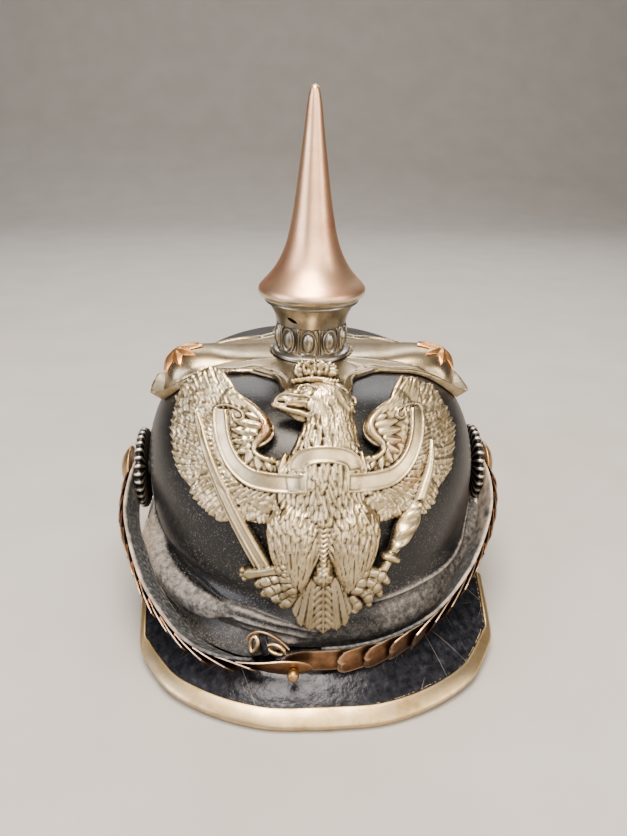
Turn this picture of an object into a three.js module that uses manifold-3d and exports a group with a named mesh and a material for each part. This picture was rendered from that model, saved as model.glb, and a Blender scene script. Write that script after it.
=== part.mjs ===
import * as THREE from "three";
import { mergeVertices } from "three/addons/utils/BufferGeometryUtils.js";
import Module from "manifold-3d";

const wasm = await Module();
wasm.setup();

// Sizes in millimetres. The front of the helmet looks along -Y and the spike stands on the Z axis.
const GAP = 0.3;
const LEATHER = 2.4;
const DEGREE = Math.PI / 180;

// Skull of lacquered leather: half width and reach of each level, from the base to the crown.
const SKULL_SQUARENESS = 2.15;
const SKULL_SEGMENTS = 40;
const SKULL_SECTIONS = [
  { height: 22, halfWidth: 87.5, front: 109.0, back: 109.0 },
  { height: 28, halfWidth: 89.5, front: 110.5, back: 110.5 },
  { height: 35, halfWidth: 89.2, front: 109.5, back: 110.0 },
  { height: 42, halfWidth: 86.2, front: 106.0, back: 108.5 },
  { height: 58, halfWidth: 86.6, front: 103.0, back: 107.0 },
  { height: 78, halfWidth: 86.6, front: 97.2, back: 102.5 },
  { height: 95, halfWidth: 81.4, front: 88.5, back: 95.0 },
  { height: 108.5, halfWidth: 71.5, front: 77.5, back: 84.5 },
  { height: 117.8, halfWidth: 57.0, front: 62.5, back: 69.5 },
  { height: 121.6, halfWidth: 33.0, front: 36.0, back: 43.0 },
  { height: 122.5, halfWidth: 0, front: 0, back: 0 },
];
const SKULL_STEPS = [0, 0.06, 0.13, 0.19, 0.25, 0.31, 0.38, 0.46, 0.54, 0.63, 0.72, 0.81, 0.9];

// Folds of the sagged leather: turn round the skull and spread in degrees, height and band, swell outward.
const FOLDS = [
  { turn: -144, spread: 28, height: 35.5, band: 5, swell: 4.2 },
  { turn: -140, spread: 30, height: 44, band: 4, swell: -1.8 },
  { turn: -138, spread: 26, height: 26, band: 4, swell: -2.4 },
  { turn: -110, spread: 14, height: 36, band: 4, swell: 1.4 },
  { turn: -50, spread: 26, height: 44.5, band: 4, swell: 1.8 },
  { turn: -52, spread: 28, height: 34, band: 6, swell: -2 },
];

// Peaks: the outer edge of the leather, from the middle to the side.
const PEAK_ROOT_HEIGHT = 22 - GAP;
const PEAK_ROOT_INSET = 3;
const PEAK_CROWN = 1.2;
const FRONT_PEAK_EDGE = [
  { across: 0, reach: 135.6, height: 3.1 },
  { across: 26, reach: 133.8, height: 3.1 },
  { across: 50, reach: 125.4, height: 3.8 },
  { across: 68, reach: 113.2, height: 5.2 },
  { across: 79.5, reach: 100, height: 7 },
  { across: 84.4, reach: 87.5, height: 9.6 },
  { across: 86.2, reach: 72, height: 14.6 },
  { across: 86.4, reach: 57, height: 18.6 },
];
const REAR_PEAK_EDGE = [
  { across: 0, reach: 137.05, height: 1.1 },
  { across: 28, reach: 134.6, height: 1.1 },
  { across: 52, reach: 125.6, height: 1.8 },
  { across: 70, reach: 112.4, height: 4.2 },
  { across: 82, reach: 95, height: 8.6 },
  { across: 88, reach: 75, height: 14.6 },
  { across: 89, reach: 54, height: 20.4 },
];
const PEAK_STATIONS = 24;

// Folded metal edging of the front peak.
const TRIM_SHEET = 0.8;
const TRIM_WIDTHS = [
  { share: 0, width: 7.6 },
  { share: 0.45, width: 6.6 },
  { share: 0.68, width: 4.8 },
  { share: 0.8, width: 3.4 },
  { share: 1, width: 3 },
];
const TRIM_UNDER = 0.62;

// Cross base: one arm from the crown outward, with the swelling that carries the star.
const ARM_SHEET = 1.3;
const ARM_SEAT = 0.55;
const ARM_STATIONS = [
  { along: 16, halfWidth: 14, ridge: 11, swell: 0.8, lip: 0 },
  { along: 28, halfWidth: 20, ridge: 11, swell: 1.4, lip: 0 },
  { along: 42, halfWidth: 28, ridge: 11.5, swell: 2.8, lip: 0 },
  { along: 54, halfWidth: 22, ridge: 13, swell: 6.2, lip: 0 },
  { along: 63, halfWidth: 18.6, ridge: 14, swell: 9.2, lip: 0 },
  { along: 70, halfWidth: 17.2, ridge: 13.8, swell: 9.4, lip: 0 },
  { along: 75.5, halfWidth: 15.6, ridge: 12, swell: 6, lip: 0.4 },
  { along: 79.5, halfWidth: 13.6, ridge: 9.6, swell: 1.6, lip: 2 },
  { along: 84.5, halfWidth: 9.6, ridge: 5, swell: 0, lip: 6.2 },
];
const ARM_END = 83;
const ARMS = [
  { name: "right", turn: 0, length: 1, star: true },
  { name: "back", turn: 90, length: 0.98, star: true },
  { name: "left", turn: 180, length: 1, star: true },
  { name: "front", turn: -90, length: 0.72, star: false },
];
const CROWN_DISC_RADIUS = 25;
const CROWN_DISC_TOP = 124.2;
const WEB = { reach: 40, segments: 16, under: 0.85, top: 1.6 };

// Leaf star on the swelling of an arm.
const STAR_POINTS = 8;
const STAR_TIP = 10.6;
const STAR_NOTCH = 5.2;
const STAR_SEAT = 65;
const STAR_CLEAR = 1;

// Neck under the spike, with its ring of egg ovals and the vent hole.
const NECK_SEGMENTS = 22;
const NECK_PROFILE = [
  { radius: 0, height: 124.5 },
  { radius: 20.6, height: 124.5 },
  { radius: 20.6, height: 126.2 },
  { radius: 18.6, height: 127.1 },
  { radius: 17.2, height: 127.8 },
  { radius: 17.2, height: 140.2 },
  { radius: 18.0, height: 141 },
  { radius: 18.7, height: 144.4 },
  { radius: 20.4, height: 148.2 },
  { radius: 23.2, height: 152.2 },
  { radius: 24.6, height: 153.4 },
  { radius: 24.6, height: 154.4 },
  { radius: 0, height: 154.4 },
];
const OVAL_COUNT = 10;
const OVAL_TURN = -98;
const OVAL_HALF_WIDTH = 4.0;
const OVAL_HALF_HEIGHT = 6.0;
const OVAL_RISE = 1.5;
const OVAL_HEIGHT = 134;
const VENT_RADIUS = 2;
const VENT_HEIGHT = 143.2;
const VENT_TURN = -124;

// Trumpet spike.
const SPIKE_SEGMENTS = 22;
const SPIKE_PROFILE = [
  { radius: 0, height: 154.7 },
  { radius: 25.4, height: 154.7 },
  { radius: 26.7, height: 155.6 },
  { radius: 26.9, height: 157.2 },
  { radius: 25.4, height: 159.2 },
  { radius: 21.9, height: 163.5 },
  { radius: 17.5, height: 169.6 },
  { radius: 13.4, height: 179.4 },
  { radius: 10.3, height: 193.1 },
  { radius: 7.4, height: 212.9 },
  { radius: 4.9, height: 231.8 },
  { radius: 2.9, height: 246.6 },
  { radius: 1.7, height: 250.4 },
  { radius: 0, height: 251.2 },
];

// Eagle plate: bent round the brow, its middle line given by three points that shape the curve.
const PLATE_BEND = 88;
const PLATE_FOOT = { back: -112.9, height: 35 };
const PLATE_BELLY = { back: -101.8, height: 94.9 };
const PLATE_HEAD = { back: -58.9, height: 138 };
const PLATE_UNDER = -0.7;
const PLATE_TOP = 0.7;

// Left wing of the plate, from the tip down to the body: inner and outer edge across and up.
const WING_ROWS = [
  { inAcross: 45, inUp: 112, outAcross: 49, outUp: 113.5 },
  { inAcross: 43, inUp: 104, outAcross: 61, outUp: 102.5 },
  { inAcross: 35, inUp: 99.5, outAcross: 69, outUp: 91 },
  { inAcross: 26, inUp: 94, outAcross: 72, outUp: 82 },
  { inAcross: 24, inUp: 87, outAcross: 72.5, outUp: 74 },
  { inAcross: 27, inUp: 79, outAcross: 69, outUp: 64 },
  { inAcross: 16, inUp: 73, outAcross: 60, outUp: 56 },
  { inAcross: 7, inUp: 66, outAcross: 49, outUp: 48 },
  { inAcross: 4, inUp: 58, outAcross: 33, outUp: 48.5 },
  { inAcross: 2, inUp: 50, outAcross: 21, outUp: 48.5 },
];
const WING_ACROSS = 4;

// The two wings: the right one is a little narrower and its tip lower.
const WINGS = [
  { mirror: -1, spread: 1, tipDrop: 0 },
  { mirror: 1, spread: 0.94, tipDrop: 5.5 },
];
const WING_TIP_FROM = 92;
const WING_TIP_TO = 116;

// Flight feathers of one wing: root and tip across and up, and half width.
const FLIGHT_FEATHERS = [
  { rootAcross: 45, rootUp: 97, tipAcross: 48.5, tipUp: 116, half: 3.6 },
  { rootAcross: 47, rootUp: 93, tipAcross: 57.5, tipUp: 109.5, half: 4.2 },
  { rootAcross: 49, rootUp: 88, tipAcross: 66.5, tipUp: 99.5, half: 4.6 },
  { rootAcross: 50, rootUp: 83, tipAcross: 73.5, tipUp: 89.5, half: 4.6 },
  { rootAcross: 50, rootUp: 77, tipAcross: 76.5, tipUp: 79, half: 4.6 },
  { rootAcross: 49, rootUp: 72, tipAcross: 75.5, tipUp: 68.5, half: 4.6 },
  { rootAcross: 46, rootUp: 68, tipAcross: 70.5, tipUp: 59.5, half: 4.6 },
  { rootAcross: 41, rootUp: 64, tipAcross: 63, tipUp: 53, half: 4.4 },
  { rootAcross: 34, rootUp: 61, tipAcross: 54, tipUp: 46.5, half: 4.4 },
  { rootAcross: 26, rootUp: 59, tipAcross: 42, tipUp: 46, half: 4.2 },
  { rootAcross: 18, rootUp: 57, tipAcross: 31, tipUp: 46.5, half: 4.0 },
];

// Ridges of the plate along their paths: across and up, half width, height of the edge and of the crest.
const BODY = [
  { across: 2, up: 101, half: 9, edge: 1.5, crest: 4.2 },
  { across: 4, up: 92, half: 9.5, edge: 1.5, crest: 4.8 },
  { across: 2.5, up: 83, half: 12.5, edge: 1.2, crest: 5.2 },
  { across: 1, up: 72, half: 15.5, edge: 1, crest: 5.4 },
  { across: 0, up: 60, half: 14.5, edge: 1, crest: 5.0 },
  { across: -0.5, up: 48, half: 11, edge: 1, crest: 4.4 },
  { across: -1, up: 36, half: 6, edge: 1, crest: 3.6 },
  { across: -1, up: 25, half: 3.5, edge: 1, crest: 2.8 },
];
const HEAD = [
  { across: 11, up: 99, half: 5, edge: 2.4, crest: 4.6 },
  { across: 6, up: 102.5, half: 8, edge: 2.4, crest: 6.0 },
  { across: -1, up: 104, half: 7, edge: 2.4, crest: 6.4 },
  { across: -8, up: 103.6, half: 4.8, edge: 2.4, crest: 5.6 },
  { across: -14, up: 102.6, half: 2.9, edge: 2.4, crest: 4.6 },
  { across: -19, up: 100.6, half: 1.2, edge: 2.2, crest: 3.0 },
];
const BEAK_BELOW = [
  { across: -3, up: 97.6, half: 3.4, edge: 1.8, crest: 4.2 },
  { across: -10, up: 97.4, half: 1.8, edge: 1.8, crest: 3.4 },
  { across: -18, up: 98.4, half: 0.8, edge: 1.6, crest: 2.2 },
];
const CROWN = [
  { across: -14, up: 114, half: 3.4, edge: 1.6, crest: 3.0 },
  { across: -8, up: 115.2, half: 5.2, edge: 2.0, crest: 4.6 },
  { across: -2.5, up: 115.8, half: 5.8, edge: 2.0, crest: 5.2 },
  { across: 3, up: 115, half: 5.2, edge: 2.0, crest: 4.6 },
  { across: 8.5, up: 113.4, half: 3.4, edge: 1.6, crest: 3.0 },
];
const THIGHS = [
  { across: 12, up: 53, half: 5, edge: 1.2, crest: 3.4 },
  { across: 14, up: 45, half: 9.2, edge: 1.2, crest: 4.6 },
  { across: 13.5, up: 36, half: 9, edge: 1.2, crest: 4.6 },
  { across: 13.5, up: 28, half: 6, edge: 1.2, crest: 4.0 },
  { across: 16, up: 22, half: 4, edge: 1.2, crest: 3.4 },
];
const TAIL_FEATHERS = [
  { rootAcross: -5, rootUp: 26, tipAcross: -13, tipUp: 10, half: 3 },
  { rootAcross: -3, rootUp: 27, tipAcross: -8, tipUp: 4.6, half: 3.2 },
  { rootAcross: 1, rootUp: 27, tipAcross: 5.5, tipUp: 3.4, half: 3.2 },
  { rootAcross: 3, rootUp: 26, tipAcross: 10.5, tipUp: 7.6, half: 3 },
  { rootAcross: -1, rootUp: 31, tipAcross: -1, tipUp: 1.4, half: 3.6 },
];
const SWORD_BLADE = [
  { across: -59.4, up: 90, half: 0.8, edge: 2.2, crest: 2.6 },
  { across: -57.5, up: 84, half: 2.6, edge: 2.2, crest: 3.2 },
  { across: -50.5, up: 67, half: 3.6, edge: 2.2, crest: 3.4 },
  { across: -40.5, up: 48, half: 3.9, edge: 2.2, crest: 3.6 },
  { across: -27, up: 27, half: 4.1, edge: 2.2, crest: 3.6 },
];
const SWORD_GUARD = [
  { across: -34.5, up: 22.6, half: 2.0, edge: 2.4, crest: 4.4 },
  { across: -26, up: 26.4, half: 2.6, edge: 2.6, crest: 4.8 },
  { across: -16.5, up: 28.6, half: 1.9, edge: 2.4, crest: 4.4 },
];
const SWORD_GRIP = [
  { across: -25, up: 26, half: 2.6, edge: 1.8, crest: 4.4 },
  { across: -20, up: 18, half: 5.6, edge: 1.6, crest: 5.2 },
  { across: -16, up: 11, half: 2.6, edge: 1.4, crest: 3.8 },
];
const SCEPTRE = [
  { across: 54, up: 77.5, half: 1.6, edge: 2.2, crest: 3.4 },
  { across: 49.5, up: 67, half: 2.6, edge: 2.2, crest: 4.0 },
  { across: 44.5, up: 56, half: 2.2, edge: 2.2, crest: 4.0 },
  { across: 40, up: 48, half: 2.6, edge: 1.8, crest: 4.2 },
  { across: 36, up: 40, half: 6.0, edge: 1.6, crest: 5.4 },
  { across: 32, up: 33, half: 3.2, edge: 1.4, crest: 4.4 },
  { across: 29, up: 29, half: 4.4, edge: 1.4, crest: 4.8 },
  { across: 25, up: 20, half: 5.2, edge: 1.4, crest: 5.2 },
  { across: 19, up: 13, half: 4.0, edge: 1.2, crest: 4.4 },
  { across: 14.5, up: 8.5, half: 2.6, edge: 1.2, crest: 3.4 },
];
const RIBBON_ARM = [
  { across: 35, up: 94, half: 2.4, edge: 2.4, crest: 2.6 },
  { across: 41, up: 93, half: 3.6, edge: 2.4, crest: 2.6 },
  { across: 44.8, up: 86, half: 4, edge: 2.4, crest: 2.6 },
  { across: 43.6, up: 77, half: 4, edge: 2.4, crest: 2.6 },
  { across: 38, up: 69.6, half: 4, edge: 2.6, crest: 2.8 },
  { across: 29, up: 66, half: 4, edge: 3.0, crest: 3.2 },
  { across: 18, up: 65, half: 4, edge: 3.8, crest: 4.2 },
  { across: 8, up: 66.5, half: 4, edge: 4.8, crest: 5.4 },
];
const RIBBON_BREAST = [
  { across: -15.5, up: 75, half: 4.2, edge: 3.4, crest: 3.8 },
  { across: -8, up: 77.6, half: 4.2, edge: 5.4, crest: 5.8 },
  { across: 1, up: 78.4, half: 4.2, edge: 6.2, crest: 6.6 },
  { across: 10, up: 77.4, half: 4.2, edge: 5.4, crest: 5.8 },
  { across: 17, up: 75, half: 4.2, edge: 3.4, crest: 3.8 },
];

// Cockades and the round heads that hold the strap, both on one axis at the side of the skull.
const SIDE_AXIS = { forward: 8, height: 60 };
const COCKADE_FLUTES = 13;
const COCKADE_PROFILE = [
  { radius: 0, out: 86.9, flute: 0 },
  { radius: 6, out: 86.9, flute: 0 },
  { radius: 6, out: 88.9, flute: 0 },
  { radius: 19, out: 88.9, flute: 0 },
  { radius: 21.5, out: 89.6, flute: 0.9 },
  { radius: 21, out: 92.2, flute: 0.9 },
  { radius: 14, out: 93.0, flute: 0.3 },
  { radius: 0, out: 93.0, flute: 0 },
];
const BOSS_PROFILE = [
  { radius: 0, out: 97.2 },
  { radius: 11.5, out: 97.2 },
  { radius: 12, out: 98 },
  { radius: 10.6, out: 99.4 },
  { radius: 6.5, out: 101.8 },
  { radius: 0, out: 103 },
];
const BOSS_SEGMENTS = 14;

// Chin strap: middle line of the leather from the boss to the front, lean of its top edge outward, width.
const STRAP_LEATHER = 1.8;
const SCALE_SHEET = 0.7;
const SCALE_PITCH = 10.4;
const SCALE_LENGTH = 14.2;
const SCALE_LIFT = 0.1;
const SCALE_START = 17;
const STRAPS = [
  {
    name: "right",
    side: 1,
    scales: 13,
    standoff: 0,
    path: [
      { across: 94.2, forward: 4, height: 60, lean: 2, width: 14.5 },
      { across: 95, forward: 23, height: 56.2, lean: 8, width: 14.5 },
      { across: 91, forward: 43, height: 51, lean: 15, width: 14.2 },
      { across: 83.5, forward: 59.5, height: 45.5, lean: 23, width: 13.8 },
      { across: 73, forward: 76, height: 39, lean: 28, width: 13.4 },
      { across: 61.5, forward: 89.5, height: 32.8, lean: 25, width: 13 },
      { across: 49.5, forward: 100.5, height: 28, lean: 16, width: 12.4 },
      { across: 34.5, forward: 110, height: 25.8, lean: 7, width: 11.8 },
      { across: 19, forward: 115.6, height: 24.6, lean: 1, width: 11.4 },
      { across: 3, forward: 117.6, height: 24.2, lean: -2, width: 11 },
      { across: -17, forward: 116.6, height: 24.2, lean: -2, width: 11 },
    ],
  },
  {
    name: "left",
    side: -1,
    scales: 13,
    standoff: 3.4,
    path: [
      { across: 94.2, forward: 4, height: 60, lean: 2, width: 14.5 },
      { across: 95, forward: 23, height: 56.2, lean: 8, width: 14.5 },
      { across: 93.6, forward: 44, height: 50.8, lean: 16, width: 14.2 },
      { across: 87.4, forward: 63.5, height: 44.6, lean: 27, width: 13.8 },
      { across: 78.5, forward: 82, height: 36.4, lean: 36, width: 13.4 },
      { across: 68.6, forward: 94, height: 30.2, lean: 43, width: 13 },
      { across: 57, forward: 103.6, height: 26.4, lean: 45, width: 12.6 },
      { across: 43.5, forward: 111.2, height: 24.8, lean: 39, width: 12 },
      { across: 29, forward: 116.2, height: 24, lean: 28, width: 11.6 },
      { across: 16, forward: 118.4, height: 23.6, lean: 18, width: 11.2 },
      { across: 5, forward: 119.2, height: 23.4, lean: 12, width: 11 },
    ],
  },
];
const STRAP_STATIONS = 23;
const END_PLATE_LENGTH = 38;
const STUD_RADIUS = 2.6;
const STUD_SHANK = 1.4;

// Buckle behind the left strap.
const BUCKLE = { across: -24, forward: 113.4, height: 28.6, width: 15, drop: 10, bar: 1.8, sheet: 1.6 };

const MATERIALS = {
  lacquered_leather: { color: 0x17171a, roughness: 0.42, metalness: 0 },
  patent_leather: { color: 0x0e0e10, roughness: 0.2, metalness: 0 },
  strap_leather: { color: 0x2b2d31, roughness: 0.7, metalness: 0 },
  nickel_silver: { color: 0xb5aca2, roughness: 0.38, metalness: 1 },
  edging_metal: { color: 0xb9ad92, roughness: 0.34, metalness: 1 },
  cast_silver: { color: 0x9d9587, roughness: 0.42, metalness: 1 },
  gilt_copper: { color: 0xb27a4a, roughness: 0.35, metalness: 1 },
  scale_copper: { color: 0x9a6a48, roughness: 0.42, metalness: 1 },
  cockade_enamel: { color: 0x2a2a2c, roughness: 0.5, metalness: 0.2 },
};

const helmet = new THREE.Group();
helmet.name = "spiked_helmet";

function place(name, geometry, material) {
  const finish = new THREE.MeshStandardMaterial(MATERIALS[material]);
  finish.name = material;
  geometry.computeVertexNormals();
  const mesh = new THREE.Mesh(geometry, finish);
  mesh.name = name;
  helmet.add(mesh);
}

function fromTriangles(points, triangles) {
  let volume = 0;
  for (const [a, b, c] of triangles) {
    volume += points[a].dot(new THREE.Vector3().crossVectors(points[b], points[c]));
  }
  const geometry = new THREE.BufferGeometry();
  geometry.setAttribute("position", new THREE.Float32BufferAttribute(points.flatMap((p) => p.toArray()), 3));
  geometry.setIndex(triangles.flatMap(([a, b, c]) => (volume < 0 ? [a, c, b] : [a, b, c])));
  return geometry;
}

// Triangles that close the end ring of a loft, in the ring's own order.
function capTriangles(ring) {
  const middle = ring.reduce((sum, p) => sum.add(p), new THREE.Vector3()).divideScalar(ring.length);
  const normal = new THREE.Vector3();
  ring.forEach((p, i) => {
    const next = ring[(i + 1) % ring.length];
    normal.add(new THREE.Vector3().crossVectors(p.clone().sub(middle), next.clone().sub(middle)));
  });
  normal.normalize();
  const right = ring[0].clone().sub(middle).cross(normal).normalize();
  const up = new THREE.Vector3().crossVectors(normal, right);
  const flat = ring.map((p) => {
    const offset = p.clone().sub(middle);
    return new THREE.Vector2(offset.dot(right), offset.dot(up));
  });
  return THREE.ShapeUtils.triangulateShape(flat, []).map(([a, b, c]) => {
    const turn = flat[b].clone().sub(flat[a]).cross(flat[c].clone().sub(flat[a]));
    return turn > 0 ? [a, b, c] : [a, c, b];
  });
}

// Closed skin through rings of points; a ring of one point is a pole.
function loft(rings) {
  const points = rings.flat();
  const triangles = [];
  const starts = [];
  let start = 0;
  for (const ring of rings) {
    starts.push(start);
    start += ring.length;
  }
  for (let k = 0; k + 1 < rings.length; k++) {
    const count = Math.max(rings[k].length, rings[k + 1].length);
    for (let i = 0; i < count; i++) {
      const j = (i + 1) % count;
      const a = starts[k];
      const b = starts[k + 1];
      if (rings[k].length === 1) {
        triangles.push([a, b + j, b + i]);
      } else if (rings[k + 1].length === 1) {
        triangles.push([a + i, a + j, b]);
      } else {
        triangles.push([a + i, a + j, b + j], [a + i, b + j, b + i]);
      }
    }
  }
  if (rings[0].length > 1) {
    triangles.push(...capTriangles(rings[0]).map(([a, b, c]) => [a, c, b]));
  }
  const last = starts.length - 1;
  if (rings[last].length > 1) {
    triangles.push(...capTriangles(rings[last]).map((face) => face.map((i) => i + starts[last])));
  }
  return fromTriangles(points, triangles);
}

// Geometry with shared corners and no collapsed faces.
function welded(geometry) {
  const bare = new THREE.BufferGeometry();
  bare.setAttribute("position", geometry.getAttribute("position").clone());
  bare.setIndex(geometry.index ? Array.from(geometry.index.array) : null);
  const shared = mergeVertices(bare, 1e-4);
  const index = Array.from(shared.index.array);
  const kept = [];
  for (let i = 0; i < index.length; i += 3) {
    const [a, b, c] = index.slice(i, i + 3);
    if (a !== b && b !== c && c !== a) {
      kept.push(a, b, c);
    }
  }
  shared.setIndex(kept);
  return shared;
}

function body(geometry) {
  const shared = welded(geometry);
  return new wasm.Manifold(new wasm.Mesh({
    numProp: 3,
    vertProperties: new Float32Array(shared.getAttribute("position").array),
    triVerts: new Uint32Array(shared.index.array),
  }));
}

function fromBody(solid) {
  const mesh = solid.getMesh();
  const geometry = new THREE.BufferGeometry();
  geometry.setAttribute("position", new THREE.Float32BufferAttribute(Array.from(mesh.vertProperties), 3));
  geometry.setIndex(Array.from(mesh.triVerts));
  return geometry;
}

function joined(geometries) {
  return geometries.map(body).reduce((all, next) => all.add(next));
}

// Turned piece on the Z axis.
function turned(profile, segments) {
  const outline = profile.map((row) => new THREE.Vector2(row.radius, row.height));
  return welded(new THREE.LatheGeometry(outline, segments).rotateX(Math.PI / 2));
}

function power(value, exponent) {
  return Math.sign(value) * Math.abs(value) ** exponent;
}

const skullFront = new THREE.CatmullRomCurve3(
  SKULL_SECTIONS.map((row) => new THREE.Vector3(row.halfWidth, row.front, row.height)),
);
const skullBack = new THREE.CatmullRomCurve3(
  SKULL_SECTIONS.map((row) => new THREE.Vector3(row.halfWidth, row.back, row.height)),
);

// Point of the skull's outer face: turn in degrees from the right side, rise from base to crown.
function skullFace(turn, rise) {
  const row = (turn > 0 && turn < 180 ? skullBack : skullFront).getPoint(rise);
  const c = Math.cos(turn * DEGREE);
  const s = Math.sin(turn * DEGREE);
  let swell = 0;
  for (const fold of FOLDS) {
    const away = THREE.MathUtils.euclideanModulo(turn - fold.turn + 180, 360) - 180;
    swell += fold.swell * Math.exp(-((away / fold.spread) ** 2) - ((row.z - fold.height) / fold.band) ** 2);
  }
  const width = Math.max(row.x, 0);
  const reach = Math.max(row.y, 0);
  const bend = 2 / SKULL_SQUARENESS;
  return new THREE.Vector3(width * power(c, bend) + swell * c, reach * power(s, bend) + swell * s, row.z);
}

function skullNormal(turn, rise) {
  const round = skullFace(turn + 1, rise).sub(skullFace(turn - 1, rise));
  const up = skullFace(turn, Math.min(rise + 0.008, 0.999)).sub(skullFace(turn, Math.max(rise - 0.008, 0)));
  return round.cross(up).normalize();
}

function skullPoint(turn, rise, out) {
  return skullFace(turn, rise).addScaledVector(skullNormal(turn, rise), out);
}

// Rise of the skull's profile at a distance from the crown along one meridian.
function riseAlong(turn, distance) {
  let rise = 1;
  let length = 0;
  let last = skullFace(turn, 1);
  while (length < distance && rise > 0) {
    rise -= 0.002;
    const next = skullFace(turn, rise);
    length += next.distanceTo(last);
    last = next;
  }
  return rise;
}

function skullShell() {
  const turns = Array.from({ length: SKULL_SEGMENTS }, (_, i) => (360 * i) / SKULL_SEGMENTS);
  const crown = SKULL_SECTIONS[SKULL_SECTIONS.length - 1].height;
  const inner = SKULL_STEPS.map((rise) => turns.map((turn) => skullPoint(turn, rise, -LEATHER)));
  const outer = SKULL_STEPS.map((rise) => turns.map((turn) => skullPoint(turn, rise, 0)));
  inner[0].forEach((point) => point.setZ(SKULL_SECTIONS[0].height));
  return loft([
    [new THREE.Vector3(0, 0, crown - LEATHER)],
    ...inner.reverse(),
    ...outer,
    [new THREE.Vector3(0, 0, crown)],
  ]);
}

// A peak: root under the skull's base, edge from the table, both from one side to the other.
function peakFrames(edgeRows, front) {
  const facing = front ? -1 : 1;
  const edgePoints = edgeRows.map((r) => new THREE.Vector3(r.across, facing * r.reach, r.height));
  const half = new THREE.CatmullRomCurve3(edgePoints);
  const frames = [];
  for (let i = 0; i <= PEAK_STATIONS; i++) {
    const share = (2 * i) / PEAK_STATIONS - 1;
    const edge = half.getPointAt(Math.abs(share));
    edge.x *= Math.sign(share);
    const sweep = Math.abs(share) * (front ? 62 : 64);
    const turn = facing * 90 - facing * Math.sign(share) * sweep;
    const root = skullPoint(turn, 0, -PEAK_ROOT_INSET).setZ(PEAK_ROOT_HEIGHT);
    const inward = root.clone().sub(edge).normalize();
    const along = half.getTangentAt(Math.abs(share));
    along.y *= Math.sign(share) || 1;
    along.z *= Math.sign(share) || 1;
    const up = new THREE.Vector3().crossVectors(along, inward).multiplyScalar(front ? 1 : -1).normalize();
    frames.push({ edge, root, inward, up });
  }
  return frames;
}

function peakLeather(frames) {
  return loft(frames.map(({ edge, root, up }) => {
    const middle = edge.clone().lerp(root, 0.5).addScaledVector(up, PEAK_CROWN);
    const upper = [edge, middle, root].map((p) => p.clone());
    const lower = [root, middle, edge].map((p, i) => {
      return i === 0 ? p.clone().setZ(p.z - LEATHER) : p.clone().addScaledVector(up, -LEATHER);
    });
    return [...upper, ...lower];
  }));
}

// Width of the trim's upper face at a share of the way from the middle to the side.
function trimWidth(share) {
  const k = Math.max(1, TRIM_WIDTHS.findIndex((row) => row.share >= share));
  const [from, to] = [TRIM_WIDTHS[k - 1], TRIM_WIDTHS[k]];
  return THREE.MathUtils.mapLinear(share, from.share, to.share, from.width, to.width);
}

function peakTrim(frames) {
  const outer = GAP + TRIM_SHEET;
  return loft(frames.map(({ edge, root, up }, i) => {
    const top = trimWidth(Math.abs((2 * i) / PEAK_STATIONS - 1));
    const under = top * TRIM_UNDER;
    const section = [
      { inward: top, up: outer },
      { inward: -outer, up: outer },
      { inward: -outer, up: -LEATHER - outer },
      { inward: under, up: -LEATHER - outer },
      { inward: under, up: -LEATHER - GAP },
      { inward: -GAP, up: -LEATHER - GAP },
      { inward: -GAP, up: GAP },
      { inward: top, up: GAP + 0.2 },
    ];
    const middle = edge.clone().lerp(root, 0.5).addScaledVector(up, PEAK_CROWN);
    const slope = middle.sub(edge).normalize();
    return section.map((row) => edge.clone().addScaledVector(slope, row.inward).addScaledVector(up, row.up));
  }));
}

// Flat underside on the level that the helmet stands on.
function levelled(geometry) {
  const below = new THREE.BoxGeometry(400, 400, 40).translate(0, 0, -20);
  return fromBody(body(geometry).subtract(body(below)));
}

function armSurface(arm, along, across, out) {
  const rise = riseAlong(arm.turn, along);
  const middle = skullFace(arm.turn, rise);
  const turn = arm.turn + Math.atan2(across, Math.hypot(middle.x, middle.y)) / DEGREE;
  return skullPoint(turn, rise, out);
}

function armHeight(row, across) {
  const dome = Math.max(0, 1 - (across / row.ridge) ** 2);
  const edge = Math.min(1, Math.abs(across) / row.halfWidth);
  return ARM_SHEET + row.swell * dome ** 0.7 + row.lip * edge ** 6;
}

function armSolid(arm) {
  return loft(ARM_STATIONS.map((row) => {
    const along = row.along * arm.length;
    const end = row.along > ARM_END ? row.lip : 0;
    const half = [row.ridge / 2, row.ridge, row.halfWidth];
    const stations = [...half.map((across) => -across).reverse(), ...half];
    const upper = stations.map((across) => {
      const out = Math.max(armHeight(row, across), ARM_SHEET + end);
      return armSurface(arm, along, across, ARM_SEAT + out);
    });
    const lower = stations.map((across) => armSurface(arm, along, across, ARM_SEAT));
    return [...upper, ...lower.reverse()];
  }));
}

// Thin web that joins the arms round the crown.
function webSolid(crown) {
  const turns = Array.from({ length: WEB.segments }, (_, i) => (360 * i) / WEB.segments);
  const ring = (along, out) => turns.map((turn) => skullPoint(turn, riseAlong(turn, along), out));
  return loft([
    [new THREE.Vector3(0, 0, crown + WEB.under)],
    ring(WEB.reach / 2, WEB.under),
    ring(WEB.reach, WEB.under),
    ring(WEB.reach, WEB.top),
    ring(WEB.reach / 2, WEB.top),
    [new THREE.Vector3(0, 0, crown + WEB.top)],
  ]);
}

function crossBase() {
  const crown = SKULL_SECTIONS[SKULL_SECTIONS.length - 1].height;
  const lowest = crown + GAP;
  const disc = turned([
    { radius: 0, height: lowest },
    { radius: CROWN_DISC_RADIUS - 2, height: lowest },
    { radius: CROWN_DISC_RADIUS - 3, height: CROWN_DISC_TOP },
    { radius: 0, height: CROWN_DISC_TOP },
  ], 24);
  const seatRadius = CROWN_DISC_RADIUS - 4;
  const seat = new THREE.CylinderGeometry(seatRadius, seatRadius, 20, 24).rotateX(Math.PI / 2);
  seat.translate(0, 0, CROWN_DISC_TOP + 10);
  return fromBody(joined([...ARMS.map(armSolid), disc, webSolid(crown)]).subtract(body(seat)));
}

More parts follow.
